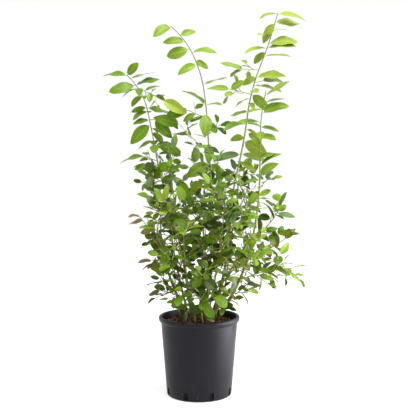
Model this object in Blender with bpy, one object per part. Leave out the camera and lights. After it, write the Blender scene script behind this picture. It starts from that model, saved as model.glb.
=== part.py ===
"""Potted highbush blueberry: a clump of leafy canes from one root in a round nursery pot.

Metres, +Z up. The origin is the middle of the pot's flat underside, and the front faces -Y.
Each cane is one tapering limb. Each mass of foliage is a stem with its twigs and leaves fused on,
and it stands just clear of the cane that bears it.
"""
import math
import random
from collections import namedtuple

import bmesh
import bpy
from mathutils import Matrix, Quaternion, Vector
from mathutils.bvhtree import BVHTree

# Clearance between solids that touch
GAP = 0.0003

# Pot
POT_HEIGHT = 0.216
RIM_RADIUS = 0.110
RIM_BAND = 0.0160
RIM_ROLL = 0.0042
RIM_LEDGE = 0.0090
WALL_TOP_RADIUS = 0.1040
WALL_FOOT_RADIUS = 0.0880
WALL = 0.0025
FLOOR = 0.0030
FOOT_ROUND = 0.0060
POT_SIDES = 32
SLOTS = 8
SLOT_WIDTH = 0.0125
SLOT_FOOT = 0.0040
SLOT_HEAD = 0.0250
SLOT_CUT_DEPTH = 0.0200

# Potting mix: level where the canes stand, lower where it meets the wall
SOIL_TOP = 0.205
SOIL_EDGE = 0.196
SOIL_LEVEL_RADIUS = 0.062

# Canes, stems and twigs: radii taper to the tip, and a cane swells a little at its foot
CANE_SIDES = 6
CANE_STEP = 0.050
CANE_TAPER = 1.15
FOOT_SWELL = 0.35
FOOT_SWELL_REACH = 0.012
STEM_SIDES = 4
STEM_STEP = 0.050
STEM_RADIUS = 0.0018
STEM_SHARE = 0.6
SHOULDER = 2.5
TIP_RADIUS = 0.0009
TWIG_SIDES = 3
TWIG_RINGS = 2
TWIG_RADIUS = 0.0013
TWIG_SHARE = 0.75
TWIG_TIP_RADIUS = 0.0007
TWIG_WANDER = 0.06

# Twigs of the bushy crown: where they stand on their stem, and their length as a share of it
TWIG_SPACING = 0.038
FIRST_TWIG = 0.18
LAST_TWIG = 0.86
LOWEST_TWIG_LENGTH = 0.50
HIGHEST_TWIG_LENGTH = 0.28
TWIG_LENGTH_RANGE = (0.85, 1.20)
TWIG_HEADING = 0.75
BUSHY_TWIG_RISE = 0.16
TALL_TWIG_RISE = 0.08

# Leaf sizes, with the widths as shares of the length. Along a limb they swell from the least share
# by up to the second one, as an arch that runs from the first to the last share of a half turn.
LEAF_LENGTH = 0.046
LEAF_WIDTH = 0.52
TALL_LEAF_LENGTH = 0.070
TALL_LEAF_WIDTH = 0.46
TALL_CANE = 0.6
SMALL_LEAF = 0.66
TWIG_LEAF = 0.95
END_LEAF = 0.90
ROW_LEAF = (0.80, 0.30)
ROW_SWELL = (0.20, 0.90)
LENGTH_RANGE = (0.88, 1.14)
WIDTH_RANGE = (0.86, 1.14)

# Leaf outline: shares of the length and of the width at two steps between root and tip
NEAR_STEP = 0.32
FAR_STEP = 0.70
NEAR_HALF_WIDTH = 0.46
FAR_HALF_WIDTH = 0.40
LEAF_ARCH = 0.055
FAR_ARCH = 0.9

# Leaf stance, in degrees except the sag and the turns, which are shares of an upright unit
LEAF_OPENING = (48.0, 72.0)
END_LEAF_OPENING = (8.0, 30.0)
LEAF_ROLL = 26.0
LEAF_SAG = 0.12
OUTWARD_TURN = (0.1, 1.2)
FRONT_TURN = (0.4, 1.3)
PLANNED_LEAF_TURN = 12.0
PLANNED_LEAF_ROLL = 9.0
LEVEL_PITCH = 5
PITCH_STEP = 15.0
STANCES = {"": 0.6, "o": 2.2, "e": 0.2, "u": -0.9}

# Spacing of leaves along a limb: starts as shares of the limb, turns in degrees
LEAF_SPACING = 0.0205
FIRST_ON_STEM = 0.12
FIRST_ON_TWIG = 0.30
FIRST_ON_TALL_TWIG = 0.28
LAST_ON_LIMB = 0.96
END_OF_LIMB = 0.99
GOLDEN_ANGLE = 137.5
TWIG_LEAF_TURN = 165.0
TALL_TWIG_LEAF_TURN = 180.0
TURN_WANDER = 14.0
PLAN_START = 0.002
PLAN_JOINT = 0.0115

# Clearance kept round each leaf and twig when it is chosen, short of its own root
KEEP_CLEAR = 0.0008
POT_CLEAR = 0.004
LEAF_ROOT = 0.16
TWIG_ROOT = 0.35
NEARLY_FLAT = 1.5

# A cane has its foot in the mix, the radius there and its length. Its leans are in degrees from
# upright at equal steps from foot to tip: sideways to +X, back to +Y. bare is the share of it below
# the foliage that ends it. plan gives the leaves of that foliage from the tip down, a word for each
# joint, with + between leaves that share one and a dot for a bare one: left, right, front or back in
# capitals for large leaves, the pitch from 1 hanging through 5 level to 9 rising, then o for a face
# open to the front, e for a blade seen on edge or u for one that shows its underside. With no plan
# the foliage is bushy. twigs gives the side twigs: share of the way up the foliage, the two leans,
# length, and a plan where the leaves stand out.
Cane = namedtuple("Cane", "name foot radius length sideways back bare plan twigs")

CANES = (
    Cane("tall_centre", (0.010, 0.020), 0.0038, 0.830,
         (12, 6, 2, -1, -4, -3, -8, -25, -50), (4, 3, 3, 4), 0.50,
         "L3o . . r6o . L5 . L4o R5 . r3o L3o . . . . R6e . . . . L7e+r5e . F1o+R6o+L6o l4 r2o . L2o . "
         "l6e F1o . . r4e . L3o+r3 b5",
         ((0.33, -72, -6, 0.056, "L4o r6 l3o . r3o l6e"), (0.10, -50, 6, 0.112, "L6o+l3o . . l5 . . b4"),
          (0.22, 58, -8, 0.040, None))),
    Cane("tall_right", (0.040, 0.004), 0.0040, 0.838, (16, 8, 4, 13, 7, 22, 14), (-5, -3, -2, 0), 0.50,
         "l4e+R4 . L1+R5 . r5e l5e . R5 L4e+R5 l2o R5e . l1+r7e l2o . R5+l3o . l5+R4e L8+f4o R2o+R6 l3e "
         "f3o L5+r6o l4 . . r4e+L4 r8o+R2e . l4o R3o . . L4o+R4 . r3+b5",
         ((0.63, -88, 0, 0.042, "L6+l3 . . R3o"), (0.55, 84, 0, 0.020, "R5+r6e"),
          (0.47, -76, -5, 0.060, "r7o+L5 . L6e . r3e"))),
    Cane("outer_right", (0.046, -0.012), 0.0042, 0.640, (35, 25, 14, 7, 0, 1, 14), (-12, -7, -3, 0), 0.56,
         "R6e R7e . R6e l4 R6+l6 . L5e r4+l6 f3 r4o . R7e+l8 . . r6 r8u R7+R6u . R7o l4 R6 b5",
         ((0.10, 44, -10, 0.050, None),)),
    Cane("tall_left", (-0.020, 0.016), 0.0038, 0.697, (-9, -8, -15, -17, -10, -12, -48), (6, 4, 2, 0), 0.50,
         "L5+r8o R6 . R6+L4o f3o+l3e l4e f4o+l2u . . l4o+R4 l3+b5 R5o l4 L2o b4 r2u R3o "
         "l3+b4 R4+f3o L4 R5 b4+l4 . R4o L5 f4 R4 b5",
         ((0.87, 116, -12, 0.080, "R3o+L1o . L3o R4o . r6 f3o"), (0.60, 84, 4, 0.072,
           "L2o+r3 . R4o r2o R6 R2o l4+R3o"),
          (0.27, -72, 0, 0.036, "L4e+L3 L3o"), (0.10, 26, -10, 0.100, None), (0.22, -48, 4, 0.060, None))),
    Cane("mid_left", (-0.012, -0.016), 0.0032, 0.480, (-9, -11, -9, -6, -2), (-6, -3, 0), 0.82,
         "R2o+l4 . l5 f2o L3o R5 b4 l3",
         ()),
    Cane("mid_centre", (0.024, -0.020), 0.0034, 0.490, (42, 12, -1, -6, -12, -24), (-8, -5, -2), 0.62,
         "l5+r3o . l6e . f2o f3o . R6 l4 . f3 R5 . l4o b5 R4",
         ((0.25, -44, -12, 0.065, None), (0.42, 46, 6, 0.060, None))),
    Cane("new_shoot", (-0.044, -0.006), 0.0020, 0.320, (-28, -8, -2, -4, -34, -54, -32), (-6, -4), 0.55,
         "l5e L4 . r7 l4o . R8o . l3 . r4",
         ()),
    Cane("woody_left", (-0.030, -0.026), 0.0046, 0.340, (-18, -24, -12, -6, 6), (-12, -12, -6), 0.56,
         None, None),
    Cane("back_left", (-0.030, 0.044), 0.0036, 0.420, (-16, -12, -8, -10), (15, 10, 5), 0.56, None, None),
    Cane("back_centre", (0.004, 0.050), 0.0038, 0.430, (-2, 4, 2, -4), (15, 10, 5, 2), 0.56, None, None),
    Cane("back_right", (0.034, 0.040), 0.0036, 0.420, (18, 14, 8, 6), (15, 9, 4), 0.56, None, None),
    Cane("front_left", (-0.012, -0.042), 0.0028, 0.340, (-10, -8, -2, 4), (-12, -12, -8), 0.14, None, None),
    Cane("front_right", (0.020, -0.040), 0.0028, 0.360, (12, 8, 4), (-10, -12, -6), 0.16, None, None),
    Cane("sprout", (0.010, -0.066), 0.0022, 0.140, (-6, 2, 6), (-14, -20), 0.12,
         "L2o+R2o . f1o L1o R1o . f2o L2o R2o . L1o+R1o",
         ((0.46, -58, -24, 0.048, "L2o R1o . L1o"), (0.38, 56, -24, 0.046, "R2o L1o . R1o"))),
)

# A branch is a mass of foliage from a cane's side: height is where it leaves the cane.
Branch = namedtuple("Branch", "name cane height length sideways back")

BRANCHES = (
    Branch("low_left", "woody_left", 0.285, 0.060, (-44, -20), (-14, -14)),
    Branch("left_edge", "new_shoot", 0.364, 0.055, (-80, -90), (0, 10)),
    Branch("left_outer", "tall_left", 0.460, 0.070, (-14, -4), (-38, -14)),
    Branch("left_upper", "mid_left", 0.560, 0.062, (-38, -50), (4, 8)),
    Branch("left_inner", "mid_left", 0.480, 0.100, (34, 14), (-34, -18)),
    Branch("left_middle", "mid_left", 0.430, 0.095, (-44, -24), (-4, 0)),
    Branch("left_rear", "tall_left", 0.380, 0.130, (-26, -18), (46, 26)),
    Branch("left_front", "mid_left", 0.370, 0.125, (-24, -8), (-48, -26)),
    Branch("left_deep", "mid_left", 0.300, 0.105, (-30, -16), (-22, -8)),
    Branch("centre_front", "tall_centre", 0.440, 0.125, (6, -4), (-42, -16)),
    Branch("centre_left", "tall_centre", 0.490, 0.085, (-55, -34), (-6, 0)),
    Branch("centre_high", "mid_centre", 0.430, 0.070, (6, 2), (46, 26)),
    Branch("centre_rear", "back_centre", 0.370, 0.130, (10, 4), (54, 30)),
    Branch("centre_low", "mid_centre", 0.330, 0.115, (-48, -20), (-24, -14)),
    Branch("centre_deep", "tall_centre", 0.330, 0.120, (30, 14), (24, 14)),
    Branch("right_inner", "tall_right", 0.445, 0.115, (40, 20), (-44, -20)),
    Branch("right_rear", "tall_right", 0.470, 0.105, (34, 20), (30, 18)),
    Branch("right_sweep", "outer_right", 0.325, 0.134, (64, 78, 88), (-6, -2)),
    Branch("right_low", "outer_right", 0.285, 0.055, (50, 40), (-14, -6)),
    Branch("right_side", "outer_right", 0.440, 0.106, (56, 24), (4, 6)),
    Branch("right_far", "outer_right", 0.382, 0.115, (72, 54), (14, 12)),
    Branch("right_front", "outer_right", 0.350, 0.115, (20, 8), (-50, -30)),
    Branch("right_close", "tall_right", 0.330, 0.130, (38, 20), (-18, -8)),
    Branch("back_right_low", "back_right", 0.300, 0.130, (46, 32), (34, 20)),
    Branch("back_left_low", "back_left", 0.300, 0.130, (-34, -24), (38, 22)),
    Branch("back_low", "back_centre", 0.255, 0.110, (14, 4), (50, 26)),
    Branch("front_left_low", "front_left", 0.230, 0.090, (-30, -10), (-40, -26)),
    Branch("front_right_low", "front_right", 0.232, 0.095, (54, 30), (-28, -20)),
    Branch("front_middle", "front_right", 0.246, 0.100, (-34, -6), (-16, -10)),
    Branch("front_low", "mid_centre", 0.262, 0.085, (-20, -8), (-46, -26)),
)

# Colours, as the real finish
POT_BLACK = (0.030, 0.029, 0.032)
SOIL_BROWN = (0.075, 0.045, 0.030)
BARK_BROWN = (0.190, 0.085, 0.045)
LEAF_GREEN = (0.090, 0.210, 0.035)

UP = Vector((0.0, 0.0, 1.0))
FRONT = Vector((0.0, -1.0, 0.0))

Limb = namedtuple("Limb", "points radii tangents")
Leaf = namedtuple("Leaf", "base along normal length width")

# A row of leaves with the twig that bears it, or None for leaves on the mass's own stem
Spray = namedtuple("Spray", "twig leaves")

SIDE_DIRECTION = {
    "R": Vector((1.0, 0.0, 0.0)),
    "B": Vector((0.0, 1.0, 0.0)),
    "L": Vector((-1.0, 0.0, 0.0)),
    "F": FRONT,
}

LEAF_FACES = ((0, 1, 5), (1, 2, 4), (1, 4, 5), (2, 3, 4), (0, 5, 3), (5, 4, 3), (0, 3, 1), (1, 3, 2))


def lerp(a, b, t):
    return a + (b - a) * t


def stepped(values, t):
    """The value a share t of the way along a row of equally spaced values."""
    place = min(max(t, 0.0), 1.0) * (len(values) - 1)
    left = min(int(place), len(values) - 2)
    return lerp(values[left], values[left + 1], place - left)


def lean_direction(sideways, back):
    side = math.radians(sideways)
    rear = math.radians(back)
    return Vector((math.sin(side) * math.cos(rear), math.sin(rear), math.cos(side) * math.cos(rear)))


def leaning_path(start, length, sideways, back, steps=64):
    """Points along a limb whose lean changes evenly between the given leans."""
    points = [Vector(start)]
    for step in range(steps):
        t = (step + 0.5) / steps
        direction = lean_direction(stepped(sideways, t), stepped(back, t))
        points.append(points[-1] + direction * (length / steps))
    return points


def path_at(points, t):
    """Place and direction a share t of the way along an evenly stepped path."""
    place = min(max(t, 0.0), 1.0) * (len(points) - 1)
    left = min(int(place), len(points) - 2)
    along = (points[left + 1] - points[left]).normalized()
    return points[left].lerp(points[left + 1], place - left), along


def length_of(limb):
    return sum((b - a).length for a, b in zip(limb.points, limb.points[1:]))


def along_limb(limb, t):
    """Place, direction and radius a share t of the way along a limb."""
    wanted = t * length_of(limb)
    last = len(limb.points) - 2
    for index, (a, b) in enumerate(zip(limb.points, limb.points[1:])):
        length = (b - a).length
        if wanted <= length or index == last:
            share = min(wanted / length, 1.0)
            radius = lerp(limb.radii[index], limb.radii[index + 1], share)
            return a.lerp(b, share), (b - a).normalized(), radius
        wanted -= length


def sideways_from(along, azimuth):
    """Unit vector square to a limb: 0 degrees is its right seen from the front, 90 its back."""
    right = Vector((1.0, 0.0, 0.0)) - along * along.x
    if right.length < 0.2:
        right = Vector((0.0, 1.0, 0.0)) - along * along.y
    right.normalize()
    back = along.cross(right)
    if back.y < 0.0:
        back = -back
    turn = math.radians(azimuth)
    return right * math.cos(turn) + back * math.sin(turn)


def material(name, colour, roughness, metallic=0.0):
    made = bpy.data.materials.new(name)
    made.use_nodes = True
    shader = made.node_tree.nodes["Principled BSDF"]
    shader.inputs["Base Color"].default_value = (*colour, 1.0)
    shader.inputs["Roughness"].default_value = roughness
    shader.inputs["Metallic"].default_value = metallic
    return made


def mesh_object(name, shape, finish=None, smooth_angle=None, collection=None):
    """An object made from a shape, which is a pair of vertices and faces."""
    vertices, faces = shape
    mesh = bpy.data.meshes.new(name)
    mesh.from_pydata([tuple(v) for v in vertices], [], faces)
    if smooth_angle is not None:
        mesh.shade_smooth()
        mesh.set_sharp_from_angle(angle=math.radians(smooth_angle))
    if finish is not None:
        mesh.materials.append(finish)
    made = bpy.data.objects.new(name, mesh)
    (collection or bpy.context.scene.collection).objects.link(made)
    return made


def apply_modifier(holder, modifier):
    bpy.context.view_layer.update()
    with bpy.context.temp_override(object=holder, active_object=holder):
        bpy.ops.object.modifier_apply(modifier=modifier.name)


def ring_faces(low, high, sides):
    """Side faces between two rings of vertices, given the first vertex of each ring."""
    return [
        (low + side, low + (side + 1) % sides, high + (side + 1) % sides, high + side)
        for side in range(sides)
    ]


def end_faces(count, sides):
    """The flat faces that close the first and the last ring of a shape of count vertices."""
    return [tuple(reversed(range(sides))), tuple(range(count - sides, count))]


def lathe(profile, sides):
    """A turned solid; the profile runs from the lower flat to the upper one."""
    vertices = []
    faces = []
    for ring, (radius, height) in enumerate(profile):
        for side in range(sides):
            turn = 2 * math.pi * (side + 0.5) / sides
            vertices.append(Vector((radius * math.cos(turn), radius * math.sin(turn), height)))
        if ring:
            faces += ring_faces((ring - 1) * sides, ring * sides, sides)
    return vertices, faces + end_faces(len(vertices), sides)


def tube(limb, sides):
    """A closed tapering tube along a limb."""
    across = limb.tangents[0].orthogonal().normalized()
    vertices = []
    faces = []
    for ring, (point, radius, tangent) in enumerate(zip(*limb)):
        across = (across - tangent * across.dot(tangent)).normalized()
        other = tangent.cross(across)
        for side in range(sides):
            turn = 2 * math.pi * side / sides
            vertices.append(point + (across * math.cos(turn) + other * math.sin(turn)) * radius)
        if ring:
            faces += ring_faces((ring - 1) * sides, ring * sides, sides)
    return vertices, faces + end_faces(len(vertices), sides)


def mean_tangents(points):
    """At each point the direction from the point before it to the one after it."""
    before = points[:1] + points[:-1]
    after = points[1:] + points[-1:]
    return [(b - a).normalized() for a, b in zip(before, after)]


def arc(centre_radius, centre_height, radius, start, end, steps):
    """Points of a round corner in a profile, from start to end in degrees."""
    points = []
    for step in range(steps + 1):
        angle = math.radians(lerp(start, end, step / steps))
        points.append((centre_radius + radius * math.cos(angle), centre_height + radius * math.sin(angle)))
    return points


def wall_radius(height):
    """Outer radius of the plain tapered wall at a height."""
    return lerp(WALL_FOOT_RADIUS, WALL_TOP_RADIUS, height / (POT_HEIGHT - RIM_BAND))


def inner_radius(height):
    """Inner radius of the wall, from the floor up to the rolled rim."""
    share = (height - FLOOR) / (POT_HEIGHT - RIM_ROLL - FLOOR)
    return lerp(wall_radius(FLOOR) - WALL, WALL_TOP_RADIUS - WALL, share)


def make_pot():
    band_foot = POT_HEIGHT - RIM_BAND
    roll_centre = POT_HEIGHT - RIM_ROLL
    profile = arc(wall_radius(FOOT_ROUND) - FOOT_ROUND, FOOT_ROUND, FOOT_ROUND, -90, 0, 3)
    profile.append((wall_radius(band_foot), band_foot))
    profile.append((RIM_RADIUS, band_foot + RIM_LEDGE))
    profile += arc(RIM_RADIUS - RIM_ROLL, roll_centre, RIM_ROLL, 0, 90, 3)
    profile += arc(inner_radius(roll_centre) + RIM_ROLL, roll_centre, RIM_ROLL, 90, 180, 2)
    profile.append((inner_radius(FLOOR), FLOOR))
    finish = material("pot_plastic", POT_BLACK, 0.42)
    pot = mesh_object("pot", lathe(profile, POT_SIDES), finish, smooth_angle=40)
    cutter = drain_cutter()
    cut = pot.modifiers.new("drain_slots", "BOOLEAN")
    cut.operation = "DIFFERENCE"
    cut.object = cutter
    apply_modifier(pot, cut)
    bpy.data.objects.remove(cutter)


def drain_cutter():
    """Eight blocks that cut the drain slots through the foot of the wall."""
    shape = bmesh.new()
    middle_height = (SLOT_FOOT + SLOT_HEAD) / 2
    size = Matrix.Diagonal((SLOT_CUT_DEPTH, SLOT_WIDTH, SLOT_HEAD - SLOT_FOOT, 1.0))
    for slot in range(SLOTS):
        turn = Matrix.Rotation(2 * math.pi * (slot + 0.5) / SLOTS, 4, "Z")
        place = Matrix.Translation((wall_radius(middle_height), 0.0, middle_height))
        bmesh.ops.create_cube(shape, size=1.0, matrix=turn @ place @ size)
    mesh = bpy.data.meshes.new("drain_cutter")
    shape.to_mesh(mesh)
    shape.free()
    cutter = bpy.data.objects.new("drain_cutter", mesh)
    bpy.context.scene.collection.objects.link(cutter)
    return cutter


def make_potting_mix():
    foot = FLOOR + GAP
    profile = [
        (inner_radius(foot) - GAP, foot),
        (inner_radius(SOIL_EDGE) - GAP, SOIL_EDGE),
        (SOIL_LEVEL_RADIUS, SOIL_TOP),
    ]
    mesh_object("potting_mix", lathe(profile, POT_SIDES), material("potting_mix", SOIL_BROWN, 0.95))


def cane_path(cane):
    return leaning_path((*cane.foot, SOIL_TOP + GAP), cane.length, cane.sideways, cane.back)


def cane_radius(cane, t):
    swell = FOOT_SWELL * cane.radius * math.exp(-t * cane.length / FOOT_SWELL_REACH)
    return lerp(TIP_RADIUS, cane.radius, (1.0 - t) ** CANE_TAPER) + swell


def cane_limb(cane):
    """The bare part of a cane as a few rings, cut level at the soil."""
    path = cane_path(cane)
    rings = max(4, round(cane.length * cane.bare / CANE_STEP))
    swell_end = FOOT_SWELL_REACH / cane.length
    places = [0.0] + [lerp(swell_end, cane.bare, ring / rings) for ring in range(rings + 1)]
    points, tangents = zip(*[path_at(path, t) for t in places])
    return Limb(points, [cane_radius(cane, t) for t in places], [UP, *tangents[1:]])


def stem_of_cane(cane):
    """The leafy end of a cane, as the stem of its own mass, just clear of the bare part."""
    path = cane_path(cane)
    start = cane.bare + GAP / cane.length
    steps = max(4, round(cane.length * (1.0 - start) / STEM_STEP))
    places = [lerp(start, 1.0, step / steps) for step in range(steps + 1)]
    points, tangents = zip(*[path_at(path, t) for t in places])
    _, foot_tangent = path_at(path, cane.bare)
    return Limb(points, [cane_radius(cane, t) for t in places], [foot_tangent, *tangents[1:]])


def cane_at_height(cane, height):
    """Place, direction and radius of the bare part of a cane at a height."""
    limb = cane_limb(cane)
    for ring in range(1, len(limb.points)):
        below, above = limb.points[ring - 1], limb.points[ring]
        if above.z >= height:
            share = (height - below.z) / (above.z - below.z)
            radius = lerp(limb.radii[ring - 1], limb.radii[ring], share)
            return below.lerp(above, share), (above - below).normalized(), radius
    raise ValueError("the bare part of " + cane.name + " doesn't reach that height")


def stem_of_branch(branch, cane):
    """A side branch's stem, which starts square to the cane and just clear of its bark."""
    point, along, radius = cane_at_height(cane, branch.height)
    heading = lean_direction(branch.sideways[0], branch.back[0])
    outward = (heading - along * heading.dot(along)).normalized()
    start = point + outward * (radius + GAP)
    thickness = min(STEM_RADIUS, radius * STEM_SHARE)
    shoulder = start + outward * thickness * SHOULDER
    path = leaning_path(shoulder, branch.length, branch.sideways, branch.back)
    steps = max(3, round(branch.length / STEM_STEP))
    places = [step / steps for step in range(steps + 1)]
    points, tangents = zip(*[path_at(path, t) for t in places])
    bend = (outward + tangents[0]).normalized()
    radii = [lerp(thickness, TIP_RADIUS, t) for t in places]
    return Limb([start, *points], [thickness, *radii], [outward, bend, *tangents[1:]])


def away_from_axis(rng, base):
    """A leaf of the bushy crown turns outward by a varying amount."""
    away = Vector((base.x, base.y, 0.0))
    return away.normalized() * rng.uniform(*OUTWARD_TURN)


def to_front_or_back(rng, _base):
    """A leaf of a tall shoot turns to the front, and one in three to the back."""
    return FRONT * rng.choice((1.0, 1.0, -1.0)) * rng.uniform(*FRONT_TURN)


def leaf_facing(rng, base, direction, lit_from, roll, length, width):
    """A leaf along a direction that turns its face up and towards lit_from."""
    face = UP + lit_from
    face -= direction * face.dot(direction)
    if face.length < 0.1:
        face = direction.orthogonal()
    face.normalize()
    face = Quaternion(direction, math.radians(rng.gauss(0.0, roll))) @ face
    size = length * rng.uniform(*LENGTH_RANGE)
    return Leaf(base, direction, face, size, size * width * rng.uniform(*WIDTH_RANGE))


def leaf_at(rng, place, outward, opening, length, width, lit_from):
    """A leaf that opens from its limb and sags a little."""
    base, along, _ = place
    angle = math.radians(opening)
    direction = along * math.cos(angle) + outward * math.sin(angle)
    direction.z -= LEAF_SAG
    return leaf_facing(rng, base, direction.normalized(), lit_from, LEAF_ROLL, length, width)


def twig_from(rng, stem, t, direction, length, rise):
    """A thin side twig that leaves the stem's axis and bends upward."""
    point, _, radius = along_limb(stem, t)
    points = [point]
    for _ in range(TWIG_RINGS):
        points.append(points[-1] + direction * (length / TWIG_RINGS))
        wander = Vector([rng.gauss(0.0, TWIG_WANDER) for _ in range(3)])
        direction = (direction + UP * rise + wander).normalized()
    thick = min(radius * TWIG_SHARE, TWIG_RADIUS)
    radii = [lerp(thick, TWIG_TIP_RADIUS, ring / TWIG_RINGS) for ring in range(TWIG_RINGS + 1)]
    return Limb(points, radii, mean_tangents(points))


def row_leaf(t):
    """Size of the leaf a share t of the way along a limb, as a share of the full one."""
    least, swell = ROW_LEAF
    return least + swell * math.sin(math.pi * lerp(*ROW_SWELL, t))


def leaves_on(rng, limb, length, width, first, spread, turned):
    """Alternate leaves up a limb, from the share first of its length, with one at its end."""
    leaves = []
    count = max(1, round(length_of(limb) * (1.0 - first) / LEAF_SPACING))
    azimuth = rng.uniform(0.0, 360.0)
    for index in range(count):
        t = lerp(first, LAST_ON_LIMB, index / count)
        place = along_limb(limb, t)
        size = length * row_leaf(t)
        outward = sideways_from(place[1], azimuth)
        lit_from = turned(rng, place[0])
        opening = rng.uniform(*LEAF_OPENING)
        leaves.append(leaf_at(rng, place, outward, opening, size, width, lit_from))
        azimuth += spread + rng.gauss(0.0, TURN_WANDER)
    place = along_limb(limb, END_OF_LIMB)
    outward = sideways_from(place[1], azimuth)
    lit_from = turned(rng, place[0])
    opening = rng.uniform(*END_LEAF_OPENING)
    leaves.append(leaf_at(rng, place, outward, opening, length * END_LEAF, width, lit_from))
    return leaves


def planned_leaf(rng, base, word, length, width):
    """A leaf from its word in a plan: its side and size, its pitch, and how it shows itself."""
    turn = Matrix.Rotation(math.radians(rng.gauss(0.0, PLANNED_LEAF_TURN)), 3, "Z")
    pitch = math.radians((int(word[1]) - LEVEL_PITCH) * PITCH_STEP)
    direction = turn @ SIDE_DIRECTION[word[0].upper()] * math.cos(pitch) + UP * math.sin(pitch)
    size = length * (1.0 if word[0].isupper() else SMALL_LEAF)
    return leaf_facing(rng, base, direction, FRONT * STANCES[word[2:]], PLANNED_LEAF_ROLL, size, width)


def planned_leaves(rng, stem, plan, length, width):
    """The leaves of a plan, joint by joint from the tip down."""
    leaves = []
    reach = length_of(stem)
    for joint, words in enumerate(plan.split()):
        base, _, _ = along_limb(stem, 1.0 - (PLAN_START + joint * PLAN_JOINT) / reach)
        if words != ".":
            leaves += [planned_leaf(rng, base, word, length, width) for word in words.split("+")]
    return leaves


def bushy_sprays(rng, stem, reach):
    """Twigs and leaves round a stem of the lower crown, turning by the golden angle."""
    sprays = []
    azimuth = rng.uniform(0.0, 360.0)
    count = max(2, round(reach / TWIG_SPACING))
    for index in range(count):
        t = lerp(FIRST_TWIG, LAST_TWIG, index / (count - 1))
        share = lerp(LOWEST_TWIG_LENGTH, HIGHEST_TWIG_LENGTH, t)
        length = reach * share * rng.uniform(*TWIG_LENGTH_RANGE)
        _, along, _ = along_limb(stem, t)
        heading = (along * TWIG_HEADING + sideways_from(along, azimuth)).normalized()
        twig = twig_from(rng, stem, t, heading, length, BUSHY_TWIG_RISE)
        size = LEAF_LENGTH * TWIG_LEAF
        row = leaves_on(rng, twig, size, LEAF_WIDTH, FIRST_ON_TWIG, TWIG_LEAF_TURN, away_from_axis)
        sprays.append(Spray(twig, row))
        azimuth += GOLDEN_ANGLE
    row = leaves_on(rng, stem, LEAF_LENGTH, LEAF_WIDTH, FIRST_ON_STEM, GOLDEN_ANGLE, away_from_axis)
    return sprays + [Spray(None, row)]


def planned_sprays(rng, stem, cane):
    """The leaves of a cane's plan, and its side twigs with theirs."""
    tall = cane.length > TALL_CANE
    size = TALL_LEAF_LENGTH if tall else LEAF_LENGTH
    width = TALL_LEAF_WIDTH if tall else LEAF_WIDTH
    turned = to_front_or_back if tall else away_from_axis
    sprays = [Spray(None, planned_leaves(rng, stem, cane.plan, size, width))]
    for share, sideways, back, length, plan in cane.twigs:
        twig = twig_from(rng, stem, share, lean_direction(sideways, back), length, TALL_TWIG_RISE)
        if plan is None:
            row = leaves_on(rng, twig, LEAF_LENGTH, width, FIRST_ON_TALL_TWIG, TALL_TWIG_LEAF_TURN, turned)
        else:
            row = planned_leaves(rng, twig, plan, size, width)
        sprays.append(Spray(twig, row))
    return sprays


def grow_cane_end(cane):
    rng = random.Random(cane.name)
    stem = stem_of_cane(cane)
    if cane.plan is None:
        return stem, bushy_sprays(rng, stem, cane.length * (1.0 - cane.bare))
    return stem, planned_sprays(rng, stem, cane)


def grow_branch(branch, cane):
    rng = random.Random(branch.name)
    stem = stem_of_branch(branch, cane)
    return stem, bushy_sprays(rng, stem, branch.length)


def leaf_side(leaf):
    """Unit vector from a leaf's midline to its left edge."""
    return leaf.normal.cross(leaf.along).normalized()


def leaf_arch(leaf):
    """How far the edges of a leaf stand over the line from its root to its tip."""
    return leaf.normal * leaf.length * LEAF_ARCH


def leaf_points(leaf):
    """Root, right edge at two steps, tip, and left edge at the same steps on the way back."""
    arch = leaf_arch(leaf)
    near_half = leaf_side(leaf) * leaf.width * NEAR_HALF_WIDTH
    far_half = leaf_side(leaf) * leaf.width * FAR_HALF_WIDTH
    near = leaf.base + leaf.along * leaf.length * NEAR_STEP + arch
    far = leaf.base + leaf.along * leaf.length * FAR_STEP + arch * FAR_ARCH
    tip = leaf.base + leaf.along * leaf.length
    return [leaf.base, near - near_half, far - far_half, tip, far + far_half, near + near_half]


def leaf_shape(leaf):
    return leaf_points(leaf), LEAF_FACES


def leaf_guard(leaf):
    """A slightly larger closed shape round a leaf, short of its root, to test its room."""
    root, right, far_right, tip, far_left, left = leaf_points(leaf)
    side = leaf_side(leaf) * KEEP_CLEAR
    lift = leaf.normal * KEEP_CLEAR
    arch = leaf_arch(leaf)
    far_arch = arch * FAR_ARCH
    root = root + leaf.along * leaf.length * LEAF_ROOT
    outline = [
        root - side,
        right - side - arch,
        far_right - side - far_arch,
        tip + leaf.along * KEEP_CLEAR,
        far_left + side - far_arch,
        left + side - arch,
        root + side,
    ]
    lower = [point - lift for point in outline]
    upper = [point + arch + lift for point in outline]
    count = len(outline)
    return upper + lower, ring_faces(0, count, count) + [tuple(range(count)), tuple(range(count, 2 * count))]


def twig_guard(twig):
    """A slightly thicker copy of a twig, short of its root, to test its room."""
    points = [twig.points[0].lerp(twig.points[1], TWIG_ROOT)] + twig.points[1:]
    radii = [radius + KEEP_CLEAR for radius in twig.radii]
    return tube(Limb(points, radii, mean_tangents(points)), 2 * TWIG_SIDES)


def surface_of(shapes):
    """One search tree over the faces of several shapes, to test other shapes against."""
    vertices = []
    faces = []
    for shape_vertices, shape_faces in shapes:
        offset = len(vertices)
        vertices += shape_vertices
        faces += [tuple(offset + index for index in face) for face in shape_faces]
    return BVHTree.FromPolygons(vertices, faces)


def is_above_soil(vertices):
    """Foliage stays above the pot's rim, or inside the pot above the mix."""
    for v in vertices:
        over_mix = math.hypot(v.x, v.y) < WALL_TOP_RADIUS - 2 * WALL
        if v.z < (SOIL_TOP if over_mix else POT_HEIGHT) + POT_CLEAR:
            return False
    return True


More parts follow.
